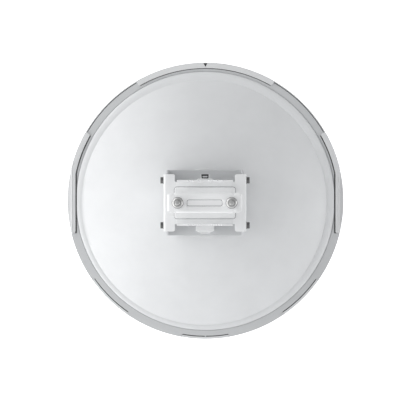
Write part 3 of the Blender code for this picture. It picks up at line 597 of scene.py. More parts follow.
def bowl_shift(radius):
    """How far the turned surface's middle is from the rim's: at the bracket for the hub, none at the rim."""
    hub = Vector((0, -RIM_Z))
    crease = Vector(CREASE_SHIFT)
    if radius < BEAD_INNER_RADIUS:
        return hub.lerp(crease, max(0.0, radius - HUB_RADIUS) / (BEAD_INNER_RADIUS - HUB_RADIUS))
    share = (radius - BEAD_INNER_RADIUS) / (BEAD_OUTER_RADIUS - BEAD_INNER_RADIUS)
    return crease * max(0.0, 1 - share)


def reflector_point(radius, degrees, y):
    x, y, z = polar(radius, degrees, y)
    shift = bowl_shift(radius)
    return (x + shift.x, y, z + shift.y)


def add_reflector():
    edge = FLANGE_EDGE_RADIUS
    front_y = FLANGE_REAR_Y + REFLECTOR_THICKNESS
    corner = [(-edge * (1 - math.sin(turn)), edge * (1 - math.cos(turn)))
              for turn in [math.radians(90 * k / 4) for k in range(5)]]
    columns = []
    for angle in rim_angles():
        profile = reflector_profile(angle)
        reach = flange_radius(angle)
        section = [(min(radius, reach - edge), y) for radius, y in profile]
        section.append((reach - 1.5 * edge, FLANGE_REAR_Y))
        section += [(reach + x, FLANGE_REAR_Y + y) for x, y in corner]
        section += [(reach + x, front_y - y) for x, y in reversed(corner)]
        section += [(min(radius, reach - edge), y + REFLECTOR_THICKNESS) for radius, y in reversed(profile)]
        columns.append([reflector_point(radius, angle, y) for radius, y in section])
    rows = [list(row) for row in zip(*columns)]
    shell = moved(finished(grid_form(rows)), RIM_PLACE)
    add_piece("reflector_shell", shell, "white_powder_coat", "dish", "dish_reflector")
    # The flange past the bead's foot wears a darker copy of the white coat: painted shade where the bowl
    # shades the flange.
    shell.materials.append(FINISHES["flange_shaded_coat"])
    for polygon in shell.polygons:
        across = math.hypot(polygon.center.x, polygon.center.z - RIM_Z)
        if across > BEAD_OUTER_RADIUS + 0.1 * FOOT_GROOVE_WIDTH:
            polygon.material_index = 1


def shroud_lip(degrees):
    """Where the shroud's outer lip starts at a rim angle, and how far it rises beside the flange's edge."""
    turn = abs((degrees + 180) % 360 - 180)
    rise = 0.0
    for start, end, _ in LIP_SPANS:
        inside = smooth_step((turn - start) / STEP_BLEND + 0.5) * smooth_step((end - turn) / STEP_BLEND + 0.5)
        rise = max(rise, inside)
    radius = NOTCH_LIP_RADIUS if turn > SIDE_FLAT_BOTTOM else GAP_LIP_RADIUS
    return radius, LIP_RISE * rise


def add_shroud():
    lip_y = SHROUD_REAR_Y + SHROUD_LIP_THICKNESS
    edge = 0.7 * MM
    outer = RIM_RADIUS
    front = SHROUD_FRONT_RADIUS
    wall = []
    for k in range(1, 12):
        share = k / 12
        y = lip_y + (SHROUD_FRONT_Y - lip_y) * share
        wall.append((outer + (front - outer) * share, y))
    wall += arc_points((front - 0.6 * MM, SHROUD_FRONT_Y - 0.6 * MM), 0.6 * MM, 0, 90, 3)
    wall += [(front - SHROUD_WALL, SHROUD_FRONT_Y), (outer - SHROUD_WALL, lip_y + SHROUD_WALL)]
    wall += [(outer - 2 * SHROUD_WALL, lip_y), (SHROUD_LIP_RADIUS, lip_y)]
    columns = []
    for angle in rim_angles():
        start, rise = shroud_lip(angle)
        rear_y = SHROUD_REAR_Y - rise
        section = [(SHROUD_LIP_RADIUS, SHROUD_REAR_Y), (start, SHROUD_REAR_Y)]
        section += [(start + 0.1 * MM, rear_y + 0.3 * rise), (start + 0.3 * MM, rear_y)]
        section += arc_points((outer - edge, rear_y + edge), edge, -90, 0, 5)
        columns.append([polar(radius, angle, y) for radius, y in section + wall])
    rows = [list(row) for row in zip(*columns)]
    rows.append(rows[0])
    mesh = moved(finished(grid_form(rows)), RIM_PLACE)
    add_piece("shroud_wall", mesh, "white_plastic", "dish", "shroud_ring")


def strip_mesh(path, near, far, low, high):
    """A flat strip beside a path of (x, z) points of the rim's plane, from near to far across it."""
    rows = []
    for i, here in enumerate(path):
        before, after = path[max(0, i - 1)], path[min(len(path) - 1, i + 1)]
        along = (Vector(after) - Vector(before)).normalized()
        across = Vector((-along.y, along.x))
        inner, outer = Vector(here) + across * near, Vector(here) + across * far
        row = [(inner.x, high, inner.y), (inner.x, low, inner.y)]
        rows.append(row + [(outer.x, low, outer.y), (outer.x, high, outer.y)])
    return moved(finished(grid_form(rows, capped=True)), RIM_PLACE)


def rim_path(radius, start, end):
    """Points of a rim arc as (x, z), about a degree apart."""
    count = max(2, math.ceil(abs(end - start)))
    turns = [math.radians(start + (end - start) * k / count) for k in range(count + 1)]
    return [(radius * math.sin(turn), radius * math.cos(turn)) for turn in turns]


def add_gap_shadow():
    """A thin black strip between the flange and the shroud, seen only in the gap beside the lip: a painted
    shadow in that gap, not a real seal.
    """
    low, high = SHROUD_REAR_Y - 0.25 * MM, SHROUD_REAR_Y - 0.05 * MM
    strips = []
    for start, end, radius in LIP_SPANS:
        for side in (-1, 1):
            path = rim_path(radius - 0.1 * MM, side * (start + 0.3), side * (min(end, 180.0) - 0.3))
            strips.append(strip_mesh(path, 0.0, -side * GAP_SHADOW_WIDTH, low, high))
    add_piece("rim_gap_shadow", merged(*strips), "black_plastic", "dish")


def add_radome():
    edge_y = SHROUD_FRONT_Y + TOUCHING_GAP
    foot = SHROUD_FRONT_RADIUS - RADOME_EDGE_RADIUS
    shoulder_y = edge_y + RADOME_EDGE_RADIUS
    dome = []
    for k in range(31):
        radius = foot * k / 30
        dome.append((radius, shoulder_y + (RADOME_APEX_Y - shoulder_y) * (1 - (radius / foot) ** 2)))
    roll = arc_points((foot, edge_y), RADOME_EDGE_RADIUS, 82, 0, 8)
    skirt = SHROUD_FRONT_RADIUS - SHROUD_WALL - TOUCHING_GAP
    under = [(skirt, edge_y), (skirt, edge_y - RADOME_SKIRT)]
    under += [(skirt - RADOME_THICKNESS, edge_y - RADOME_SKIRT), (skirt - RADOME_THICKNESS, edge_y)]
    shrink = (foot - RADOME_THICKNESS) / foot
    inner = [(radius * shrink, y - RADOME_THICKNESS) for radius, y in reversed(dome)]
    mesh = moved(turned_mesh(dome + roll + under + inner), RIM_PLACE)
    add_piece("radome_dome", mesh, "white_plastic", "dish", "radome_cover")


def edge_inset(distance, radius):
    """How far a rounded corner draws in at a distance from its end."""
    if distance >= radius:
        return 0.0
    return radius - math.sqrt(max(0.0, radius**2 - (radius - distance) ** 2))


def clip_section(inner, outer, end_distance, rib):
    """A clip's cut at one station, as points from inner to outer, both (x, z) in the rim's plane."""
    inner, outer = Vector(inner), Vector(outer)
    across = (outer - inner).normalized()
    draw = edge_inset(end_distance, CLIP_CORNER)
    inner, outer = inner + across * draw, outer - across * draw
    width = (outer - inner).length
    edge = CLIP_EDGE_RADIUS
    rear_y = CLIP_REAR_Y + edge_inset(end_distance, edge)
    foot_y = FLANGE_REAR_Y - TOUCHING_GAP
    front_y = SHROUD_REAR_Y - TOUCHING_GAP
    hook = width - 2.2 * MM
    profile = [(0.0, foot_y)]
    profile += [(edge - edge * math.cos(turn), rear_y + edge - edge * math.sin(turn))
                for turn in [math.radians(90 * k / 4) for k in range(5)]]
    rib_start = width - edge - SIDE_RIB_WIDTH
    for k in range(9):
        share = k / 8
        rise = rib * SIDE_RIB_HEIGHT * math.sin(math.pi * min(1.0, share * 1.15))
        profile.append((rib_start + SIDE_RIB_WIDTH * share, rear_y - max(0.0, rise)))
    profile += [(width - edge + edge * math.sin(turn), rear_y + edge - edge * math.cos(turn))
                for turn in [math.radians(90 * k / 4) for k in range(1, 5)]]
    profile += [(width, front_y), (hook, front_y), (hook, foot_y)]
    points = []
    for along, y in profile:
        place = inner + across * along
        points.append((place.x, y, place.y))
    return points


def end_spread(length, corner_steps=8):
    """Places along a strip: close together in the rounded ends, and even between them."""
    places = []
    for k in range(corner_steps):
        share = 1 - math.cos(math.radians(90 * k / corner_steps))
        places.append(CLIP_CORNER * share)
    start = list(places)
    finish = [length - place for place in reversed(places)]
    count = max(2, math.ceil((length - 2 * CLIP_CORNER) / (2.5 * MM)))
    between = [CLIP_CORNER + (length - 2 * CLIP_CORNER) * k / count for k in range(count + 1)]
    return start + between + finish


def add_top_clip():
    length = RIM_RADIUS * math.radians(2 * TOP_CLIP_END)
    rows = []
    for place in end_spread(length):
        angle = math.radians(-TOP_CLIP_END + 2 * TOP_CLIP_END * place / length)
        way = Vector((math.sin(angle), math.cos(angle)))
        rows.append(clip_section(way * CLIP_INNER_RADIUS, way * RIM_RADIUS, min(place, length - place), 0.0))
    mesh = moved(finished(grid_form(rows, capped=True)), RIM_PLACE)
    add_piece("clip_top", mesh, "white_plastic", "dish", "rim_clip_top")


def side_clip_path(radius, flat_x):
    """The corner and the lengths of one edge of a side clip: an arc above and a straight strip below it."""
    turn = math.degrees(math.asin(flat_x / radius))
    arc = radius * math.radians(turn - SIDE_CLIP_START)
    straight = radius * math.cos(math.radians(turn)) - SIDE_CLIP_BOTTOM_Z

    def at(share):
        along = share * (arc + straight)
        if along < arc:
            angle = math.radians(SIDE_CLIP_START) + along / radius
            return Vector((radius * math.sin(angle), radius * math.cos(angle)))
        return Vector((flat_x, radius * math.cos(math.radians(turn)) - (along - arc)))

    return at, arc + straight


def add_side_clip(name, side, node):
    inner_at, _ = side_clip_path(CLIP_INNER_RADIUS, SIDE_CLIP_INNER_X)
    outer_at, length = side_clip_path(RIM_RADIUS, SIDE_CLIP_OUTER_X)
    rows = []
    for place in end_spread(length):
        share = place / length
        inner, outer = inner_at(share), outer_at(share)
        rib = smooth_step((share - 0.3) / 0.05)
        row = clip_section(inner, outer, min(place, length - place), rib)
        rows.append([(side * x, y, z) for x, y, z in row])
    mesh = moved(finished(grid_form(rows, capped=True)), RIM_PLACE)
    add_piece(name, mesh, "white_plastic", "dish", node)


def add_clip_shadow_lines():
    """Thin black strips along the clips' inner edges, where the photograph has its darkest lines: painted
    shadow under the clips' edges, not real seals.
    """
    low, high = FLANGE_REAR_Y - 0.25 * MM, FLANGE_REAR_Y
    under = 0.2 * MM
    path = rim_path(CLIP_INNER_RADIUS, TOP_CLIP_END - 0.5, 0.5 - TOP_CLIP_END)
    add_piece("clip_shadow_top", strip_mesh(path, -under, TOP_SHADOW_LINE_WIDTH, low, high), "black_plastic", "dish")
    turn = math.degrees(math.asin(SIDE_CLIP_INNER_X / CLIP_INNER_RADIUS))
    upper = rim_path(CLIP_INNER_RADIUS, SIDE_CLIP_START + 0.5, turn)
    top_z = upper[-1][1]
    drop = SIDE_CLIP_BOTTOM_Z - 0.6 * MM - top_z
    flat = [(SIDE_CLIP_INNER_X, top_z + drop * k / 12) for k in range(13)]
    for side, side_name in ((-1, "left"), (1, "right")):
        for form, path, width in (("arc", upper, SIDE_SHADOW_LINE_WIDTH), ("flat", flat, FLAT_SHADOW_LINE_WIDTH)):
            placed = [(side * x, z) for x, z in path]
            strip = strip_mesh(placed, side * under, -side * width, low, high)
            add_piece(f"clip_shadow_{side_name}_{form}", strip, "black_plastic", "dish")


def add_arrow_mark():
    """A printed triangle that points at the middle of the dish, on the top clip."""
    middle = 225.1 * MM
    half_width, half_height = 3.1 * MM, 3.0 * MM
    corners = [(-half_width, middle + half_height, 0.4 * MM), (half_width, middle + half_height, 0.4 * MM)]
    corners += [(0, middle - half_height, 0.4 * MM)]
    mesh = finished(plate_form([round_corners(corners, 3)], 0.3 * MM, 0.08 * MM))
    place = RIM_PLACE @ Matrix.Translation((0, CLIP_REAR_Y - 0.05 * MM, 0)) @ TOWARDS_CAMERA
    add_piece("arrow_mark", moved(mesh, place), "black_plastic", "dish")


def add_bead_ticks():
    """Three short ridges across the bead at the bottom."""
    for name, x in (("left", -12.2 * MM), ("middle", 0.0), ("right", 12.6 * MM)):
        rows = []
        for k in range(11):
            radius, y = bead_point(180.0, 0.15 + 0.7 * k / 10)
            lift = 0.45 * MM * math.sin(math.pi * k / 10)
            ridge = [(0.55 * MM, 0.3 * MM), (0.4 * MM, -lift), (-0.4 * MM, -lift), (-0.55 * MM, 0.3 * MM)]
            shift = bowl_shift(radius)
            rows.append([(x + across + shift.x, y + out, shift.y - radius) for across, out in ridge])
        mesh = moved(finished(grid_form(rows, capped=True)), RIM_PLACE)
        add_piece(f"bead_tick_{name}", mesh, "white_powder_coat", "dish")


# Brackets

def grip_outline(bend_start, corner=1.5 * MM):
    """Half of a toothed grip on the flat blank, from the middle of its notch out to its outer corner."""
    def out(depth):
        return unfolded(bend_start, depth + SHEET / 2, GRIP_BEND_INSIDE)

    pitch = (NOTCH_HALF_WIDTH - NOTCH_FLOOR) / TOOTH_COUNT
    teeth = []
    for k in range(TOOTH_COUNT + 1):
        valley = NOTCH_FLOOR + pitch * k
        teeth.append((valley, out(GRIP_APEX + valley * math.tan(NOTCH_SLOPE)), 0))
        if k < TOOTH_COUNT:
            tip = valley + pitch / 2
            teeth.append((tip, out(GRIP_APEX + tip * math.tan(NOTCH_SLOPE) + TOOTH_HEIGHT), 0))
    tip_depth = GRIP_TIP + NOTCH_FLOOR * math.tan(NOTCH_SLOPE)
    return teeth + [(GRIP_HALF_WIDTH, out(tip_depth), corner)]


def add_shadow_frame(name, half_width, half_height, corner, width, rear_y, body):
    """A thin dark frame at the foot of a pressed panel, outside the half sizes: a painted shadow line where
    the pressed step shades the sheet.
    """
    outlines = []
    for grow in (width, 0.0):
        quarter = [(half_width + grow, half_height + grow, corner + grow)]
        outlines.append(round_corners(four_fold(quarter)))
    place = Matrix.Translation((0, rear_y + 0.4 * THIN_PLATE_THICKNESS, 0)) @ TOWARDS_CAMERA
    mesh = moved(finished(plate_form(outlines, THIN_PLATE_THICKNESS, THIN_PLATE_EDGE)), place)
    add_piece(name, mesh, "bracket_coat", body, finish="painted_shadow_line")


def add_pole_bracket():
    grip_bend = WEB_HALF_HEIGHT - GRIP_BEND_INSIDE - SHEET
    side_bend = POLE_HALF_WIDTH - SIDE_BEND_INSIDE - SHEET
    middle_y = POLE_WEB_FRONT_Y + SHEET / 2
    end = unfolded(side_bend, POLE_FLANGE_END_Y - middle_y, SIDE_BEND_INSIDE)
    relief = 1.5 * MM
    relief_end = grip_bend + RELIEF_DEPTH
    quarter = grip_outline(grip_bend)
    quarter += [(GRIP_HALF_WIDTH, relief_end, relief), (TAB_INNER_X, relief_end, relief)]
    quarter += [(TAB_INNER_X, POLE_HALF_HEIGHT, TAB_CORNER), (end, POLE_HALF_HEIGHT, POLE_FLANGE_CORNER)]
    bolt_u = unfolded(side_bend, TILT_AXIS_Y - middle_y, SIDE_BEND_INSIDE)
    holes = [circle(side * CLAMP_BOLT_X, 0, CLAMP_BOLT_HOLE) for side in (-1, 1)]
    holes += [circle(x, z, TILT_BOLT_HOLE) for x in (-bolt_u, bolt_u) for z in (-TILT_BOLT_Z, TILT_BOLT_Z)]
    form = plate_form([round_corners(four_fold(quarter))] + holes, SHEET)
    press(form, PANEL_HALF_WIDTH, PANEL_HALF_HEIGHT, PANEL_CORNER, PANEL_SLOPE, POLE_WEB_FRONT_Y)
    bend(form, 1, grip_bend, 1, GRIP_BEND_INSIDE, GRIP_HALF_WIDTH + 0.2 * MM)
    bend(form, 0, side_bend, -1, SIDE_BEND_INSIDE)
    place = Matrix.Translation((0, middle_y, 0)) @ TOWARDS_CAMERA
    add_piece("pole_bracket_sheet", moved(finished(form), place), "bracket_coat", "mount", "pole_bracket")
    web_y = POLE_WEB_FRONT_Y
    # A dark frame round the raised panel paints its shadow line.
    add_shadow_frame("panel_shadow_frame", PANEL_HALF_WIDTH, PANEL_HALF_HEIGHT, PANEL_CORNER, PANEL_SHADOW_WIDTH, web_y, "mount")


def add_pole_clamp():
    grip_bend = CLAMP_HALF_HEIGHT - GRIP_BEND_INSIDE - SHEET
    side_bend = CLAMP_HALF_WIDTH - SIDE_BEND_INSIDE - SHEET
    end = unfolded(side_bend, CLAMP_END_DEPTH + SHEET / 2, SIDE_BEND_INSIDE)
    relief = 1.0 * MM
    notch = GRIP_HALF_WIDTH + 2.4 * MM
    quarter = grip_outline(grip_bend)
    quarter += [(GRIP_HALF_WIDTH, grip_bend, relief), (notch, grip_bend, relief)]
    quarter += [(notch, CLAMP_HALF_HEIGHT, relief), (side_bend, CLAMP_HALF_HEIGHT, relief)]
    quarter += [(side_bend, CLAMP_END_HALF_HEIGHT, 0), (end, CLAMP_END_HALF_HEIGHT, 2 * relief)]
    holes = [circle(side * CLAMP_BOLT_X, 0, CLAMP_BOLT_HOLE) for side in (-1, 1)]
    form = plate_form([round_corners(four_fold(quarter))] + holes, SHEET)
    press(form, *CLAMP_BEAD, CLAMP_BEAD_CORNER, CLAMP_BEAD_SLOPE, -CLAMP_BEAD_DEPTH, steps=14)
    bend(form, 1, grip_bend, -1, GRIP_BEND_INSIDE, GRIP_HALF_WIDTH + 0.2 * MM)
    bend(form, 0, side_bend, -1, SIDE_BEND_INSIDE)
    place = Matrix.Translation((0, CLAMP_OUTER_Y + SHEET / 2, 0)) @ TOWARDS_CAMERA
    bar = moved(finished(form), place)
    # The clamp wears a brighter copy of the bracket coat: painted light on the clamp, which stands nearest
    # the lamps.
    add_piece("clamp_bar", bar, "bracket_coat", "clamp", "pole_clamp", finish="clamp_lit_coat")
    half_width, half_height = [half - CLAMP_BEAD_SLOPE - RECESS_SHADOW_WIDTH for half in CLAMP_BEAD]
    floor_y = CLAMP_OUTER_Y + CLAMP_BEAD_DEPTH
    # A dark frame inside the clamp's recess paints its shadow line.
    add_shadow_frame("recess_shadow_frame", half_width, half_height, CLAMP_BEAD_CORNER, RECESS_SHADOW_WIDTH, floor_y, "clamp")


def slot_outline(level):
    """A curved slot about the tilt axis, above or below it, as (y, z)."""
    limit = TILT_LIMIT + TILT_SLOT_SPARE
    start, end = 90 - limit, 90 + limit
    axis = (TILT_AXIS_Y, 0)
    outline = arc_points(axis, TILT_BOLT_Z + TILT_BOLT_HOLE, start, end, 12)
    far = arc_points(axis, TILT_BOLT_Z, end, end, 1)[0]
    outline += arc_points(far, TILT_BOLT_HOLE, end, end + 180, 10)[1:-1]
    outline += arc_points(axis, TILT_BOLT_Z - TILT_BOLT_HOLE, end, start, 12)
    near = arc_points(axis, TILT_BOLT_Z, start, start, 1)[0]
    outline += arc_points(near, TILT_BOLT_HOLE, start + 180, start + 360, 10)[1:-1]
    return [(y, level * z) for y, z in outline]


def hub_screw_places():
    return [(x, z) for z in (HUB_SCREW_Z, -HUB_SCREW_Z) for x in (-HUB_SCREW_X, HUB_SCREW_X)]


def add_base_bracket():
    side_bend = BASE_HALF_WIDTH - SIDE_BEND_INSIDE - SHEET
    middle_y = BASE_WEB_FRONT_Y - SHEET / 2

    def out(y):
        return unfolded(side_bend, middle_y - y, SIDE_BEND_INSIDE)

    shoulder, end = out(BASE_FLANGE_SHOULDER_Y), out(BASE_FLANGE_END_Y)
    quarter = [(shoulder, BASE_HALF_HEIGHT, BASE_FLANGE_CORNER), (end, BASE_FLANGE_TIP_Z, BASE_FLANGE_CORNER)]
    holes = [circle(x, z, HUB_SCREW_HOLE) for x, z in hub_screw_places()]
    for side in (-1, 1):
        for level in (-1, 1):
            holes.append([(side * out(y), z) for y, z in slot_outline(level)])
    form = plate_form([round_corners(four_fold(quarter))] + holes, SHEET)
    bend(form, 0, side_bend, 1, SIDE_BEND_INSIDE)
    place = Matrix.Translation((0, middle_y, 0)) @ TOWARDS_CAMERA
    channel = moved(finished(form), place)
    # The base channel wears a darker copy of the bracket coat: painted shade where the pole bracket shades
    # it.
    add_piece("base_channel", channel, "bracket_coat", "dish", "base_bracket", finish="base_shaded_coat")


# Fasteners, along local Z

def hexagon_radius(across, degrees):
    """A hexagon's reach at an angle, with corners that are a little rounded."""
    corner = across / math.sqrt(3)
    flat = across / 2 / math.cos(math.radians((degrees + 30) % 60 - 30))
    return min(flat, 0.985 * corner)


def hex_mesh(across, flange_radius, flange_height, height, bore=0.0):
    """A hexagon with a round flange at its foot and a chamfered top, with a bore or closed."""
    steps = 2 * SMALL_ROUND_STEPS
    rim = 0.45 * flange_height
    fillet = 0.25 * flange_height
    crown = 0.47 * across

    def hexagon(degrees):
        return hexagon_radius(across, degrees)

    def flange_top(radius):
        return rim + (flange_height - rim) * (flange_radius - radius) / (flange_radius - across / 2)

    def chamfer(radius):
        return height - (radius - crown) * math.tan(math.radians(30))

    outline = [(bore, 0.0), (flange_radius - fillet, 0.0), (flange_radius, fillet)]
    outline += [(flange_radius, rim - fillet / 2), (flange_radius - fillet / 2, rim)]
    outline += [(hexagon, flange_top), (hexagon, chamfer), (crown, height)]
    if bore:
        outline += [(bore + 0.5 * MM, height), (bore, height - 0.5 * MM), (bore, 0.0)]
    else:
        outline.append((0.0, height))
    return finished(grid_form([ring(radius, z, steps) for radius, z in outline]), 25.0)


def rod_rows(radius, pitch, start, end, thread_start, thread_end):
    """Rows of a round rod that has a thread along part of its length, and a chamfer at its start."""
    depth = 0.54 * pitch
    count = math.ceil((end - start) / pitch * ROWS_A_TURN)
    rows = [[(0.0, 0.0, start)] * THREAD_SIDES]
    for i in range(count + 1):
        z = start + (end - start) * i / count
        on = smooth_step((z - thread_start) / pitch + 1) * smooth_step((thread_end - z) / pitch)
        taper = edge_inset(z - start, pitch)
        row = []
        for k in range(THREAD_SIDES):
            turn = 2 * math.pi * k / THREAD_SIDES
            phase = (z / pitch - k / THREAD_SIDES) % 1
            cut = depth * on * (1 - abs(2 * phase - 1))
            reach = radius - max(cut, taper)
            row.append((reach * math.cos(turn), reach * math.sin(turn), z))
        rows.append(row)
    rows.append([(0.0, 0.0, end)] * THREAD_SIDES)
    return rows


def rod_mesh(*sizes):
    return finished(grid_form(rod_rows(*sizes)), 60.0)


def facing(x, y, z, rotation):
    return Matrix.Translation((x, y, z)) @ rotation


def add_tilt_bolts():
    seat = POLE_HALF_WIDTH + TOUCHING_GAP
    start = TILT_BOLT_END_X - seat
    nut_seat = BASE_HALF_WIDTH - SHEET - TOUCHING_GAP
    for side, side_name in ((-1, "left"), (1, "right")):
        outwards = Matrix.Rotation(math.radians(side * 90), 4, "Y")
        inwards = Matrix.Rotation(math.radians(-side * 90), 4, "Y")
        for z, level in ((TILT_BOLT_Z, "upper"), (-TILT_BOLT_Z, "lower")):
            name = f"{side_name}_{level}"
            rod = rod_mesh(TILT_BOLT_RADIUS, TILT_BOLT_PITCH, start, 1.0 * MM, start, start + 12 * MM)
            bolt = merged(hex_mesh(*TILT_HEAD), rod)
            place = facing(side * seat, TILT_AXIS_Y, z, outwards)
            add_piece(f"bolt_{name}", moved(bolt, place), "dark_zinc", "mount", f"tilt_bolt_{name}")
            nut = hex_mesh(*TILT_NUT, bore=TILT_BOLT_RADIUS + TOUCHING_GAP / 3)
            place = facing(side * nut_seat, TILT_AXIS_Y, z, inwards)
            add_piece(f"nut_{name}", moved(nut, place), "dark_zinc", "mount", f"tilt_nut_{name}")


def carriage_head():
    """A low round head on a square neck, from its seat at Z 0 up."""
    profile = [(0.0, CLAMP_HEAD_HEIGHT)]
    steps = 10
    for k in range(1, steps + 1):
        share = math.sin(math.radians(90 * k / steps))
        drop = CLAMP_HEAD_HEIGHT * 0.8 * (1 - math.sqrt(max(0.0, 1 - share**2 * 0.98)))
        profile.append((CLAMP_HEAD_RADIUS * share, CLAMP_HEAD_HEIGHT - drop))
    profile += [(CLAMP_HEAD_RADIUS, 0.3 * MM), (CLAMP_HEAD_RADIUS - 0.3 * MM, 0.0), (0.0, 0.0)]
    rows = [ring(radius, z, SMALL_ROUND_STEPS) for radius, z in profile]
    neck = CLAMP_NECK_HALF
    square = round_corners([(neck, neck, 0.8 * MM), (-neck, neck, 0.8 * MM), (-neck, -neck, 0.8 * MM),
                            (neck, -neck, 0.8 * MM)], 3)
    neck_form = plate_form([square], 3.6 * MM, 0.2 * MM)
    neck_mesh = moved(finished(neck_form), Matrix.Translation((0, 0, -1.4 * MM)))
    return merged(finished(grid_form(rows)), neck_mesh)


def add_clamp_bolts():
    head_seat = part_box("clamp_bolt_left")[1].y - CLAMP_HEAD_HEIGHT
    nut_seat = CLAMP_OUTER_Y - TOUCHING_GAP
    towards_dish = Matrix.Rotation(math.radians(-90), 4, "X")
    for x, side_name in ((-CLAMP_BOLT_X, "left"), (CLAMP_BOLT_X, "right")):
        start = CLAMP_BOLT_END_Y - head_seat
        thread_end = CLAMP_THREAD_END_Y - head_seat
        rod = rod_mesh(CLAMP_BOLT_RADIUS, CLAMP_BOLT_PITCH, start, 1.0 * MM, start, thread_end)
        bolt = merged(carriage_head(), rod)
        place = facing(x, head_seat, 0, towards_dish)
        node = f"clamp_bolt_{side_name}"
        add_piece(f"clamp_rod_{side_name}", moved(bolt, place), "bright_zinc", "mount", node)
        nut = hex_mesh(*CLAMP_NUT, bore=CLAMP_BOLT_RADIUS + TOUCHING_GAP / 3)
        place = facing(x, nut_seat, 0, TOWARDS_CAMERA)
        node = f"clamp_nut_{side_name}"
        add_piece(f"flange_nut_{side_name}", moved(nut, place), "bright_zinc", "clamp", node)
        holed = [circle(x, 0, CLAMP_WASHER_RADIUS), circle(x, 0, CLAMP_BOLT_HOLE)]
        washer = finished(plate_form(holed, THIN_PLATE_THICKNESS, THIN_PLATE_EDGE))
        place = facing(0, CLAMP_OUTER_Y - TOUCHING_GAP / 2, 0, TOWARDS_CAMERA)
        add_piece(f"washer_{side_name}", moved(washer, place), "dark_zinc", "clamp")


# Hub, housing and small parts

def add_hub():
    """The round boss between bracket and reflector, with a stepped face and rounded edges."""
    step = 1.2 * MM
    edge = 1.3 * MM
    ledge = HUB_RADIUS - 6 * MM
    profile = [(0.0, HUB_REAR_Y), (ledge - step, HUB_REAR_Y), (ledge, HUB_REAR_Y + step / 2)]
    profile += arc_points((HUB_RADIUS - edge, HUB_REAR_Y + step / 2 + edge), edge, -90, 0, 6)
    profile += [(HUB_RADIUS, HUB_FRONT_Y), (0.0, HUB_FRONT_Y)]
    add_piece("hub_disc", turned_mesh(profile), "white_plastic", "dish", "hub_boss")


def add_hub_screws():
    """Round-headed screws with a hexagon socket."""
    seat_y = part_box("hub_screw_1")[0].y + HUB_SCREW_HEAD
    rows = []
    steps = SMALL_ROUND_STEPS
    dome = [(HUB_SCREW_HEAD_RADIUS, 0.0), (HUB_SCREW_HEAD_RADIUS, 0.5 * HUB_SCREW_HEAD)]
    for k in range(1, 8):
        turn = math.radians(60 * k / 7)
        height = HUB_SCREW_HEAD * (0.5 + 0.5 * math.sin(turn) / 0.866)
        dome.append((HUB_SCREW_HEAD_RADIUS * math.cos(turn), height))
    rows += [ring(radius, z, steps) for radius, z in [(0.0, 0.0)] + dome]
    for z in (HUB_SCREW_HEAD, 0.4 * HUB_SCREW_HEAD):
        rows.append(ring(lambda degrees: hexagon_radius(HUB_SCREW_SOCKET * 1.9, degrees), z, steps))
    rows.append([(0.0, 0.0, 0.3 * HUB_SCREW_HEAD)] * steps)
    head = finished(grid_form(rows), 30.0)
    for i, (x, z) in enumerate(hub_screw_places(), start=1):
        mesh = moved(head.copy(), facing(x, seat_y, z, TOWARDS_CAMERA))
        add_piece(f"socket_screw_{i}", mesh, "bright_zinc", "dish", f"hub_screw_{i}")


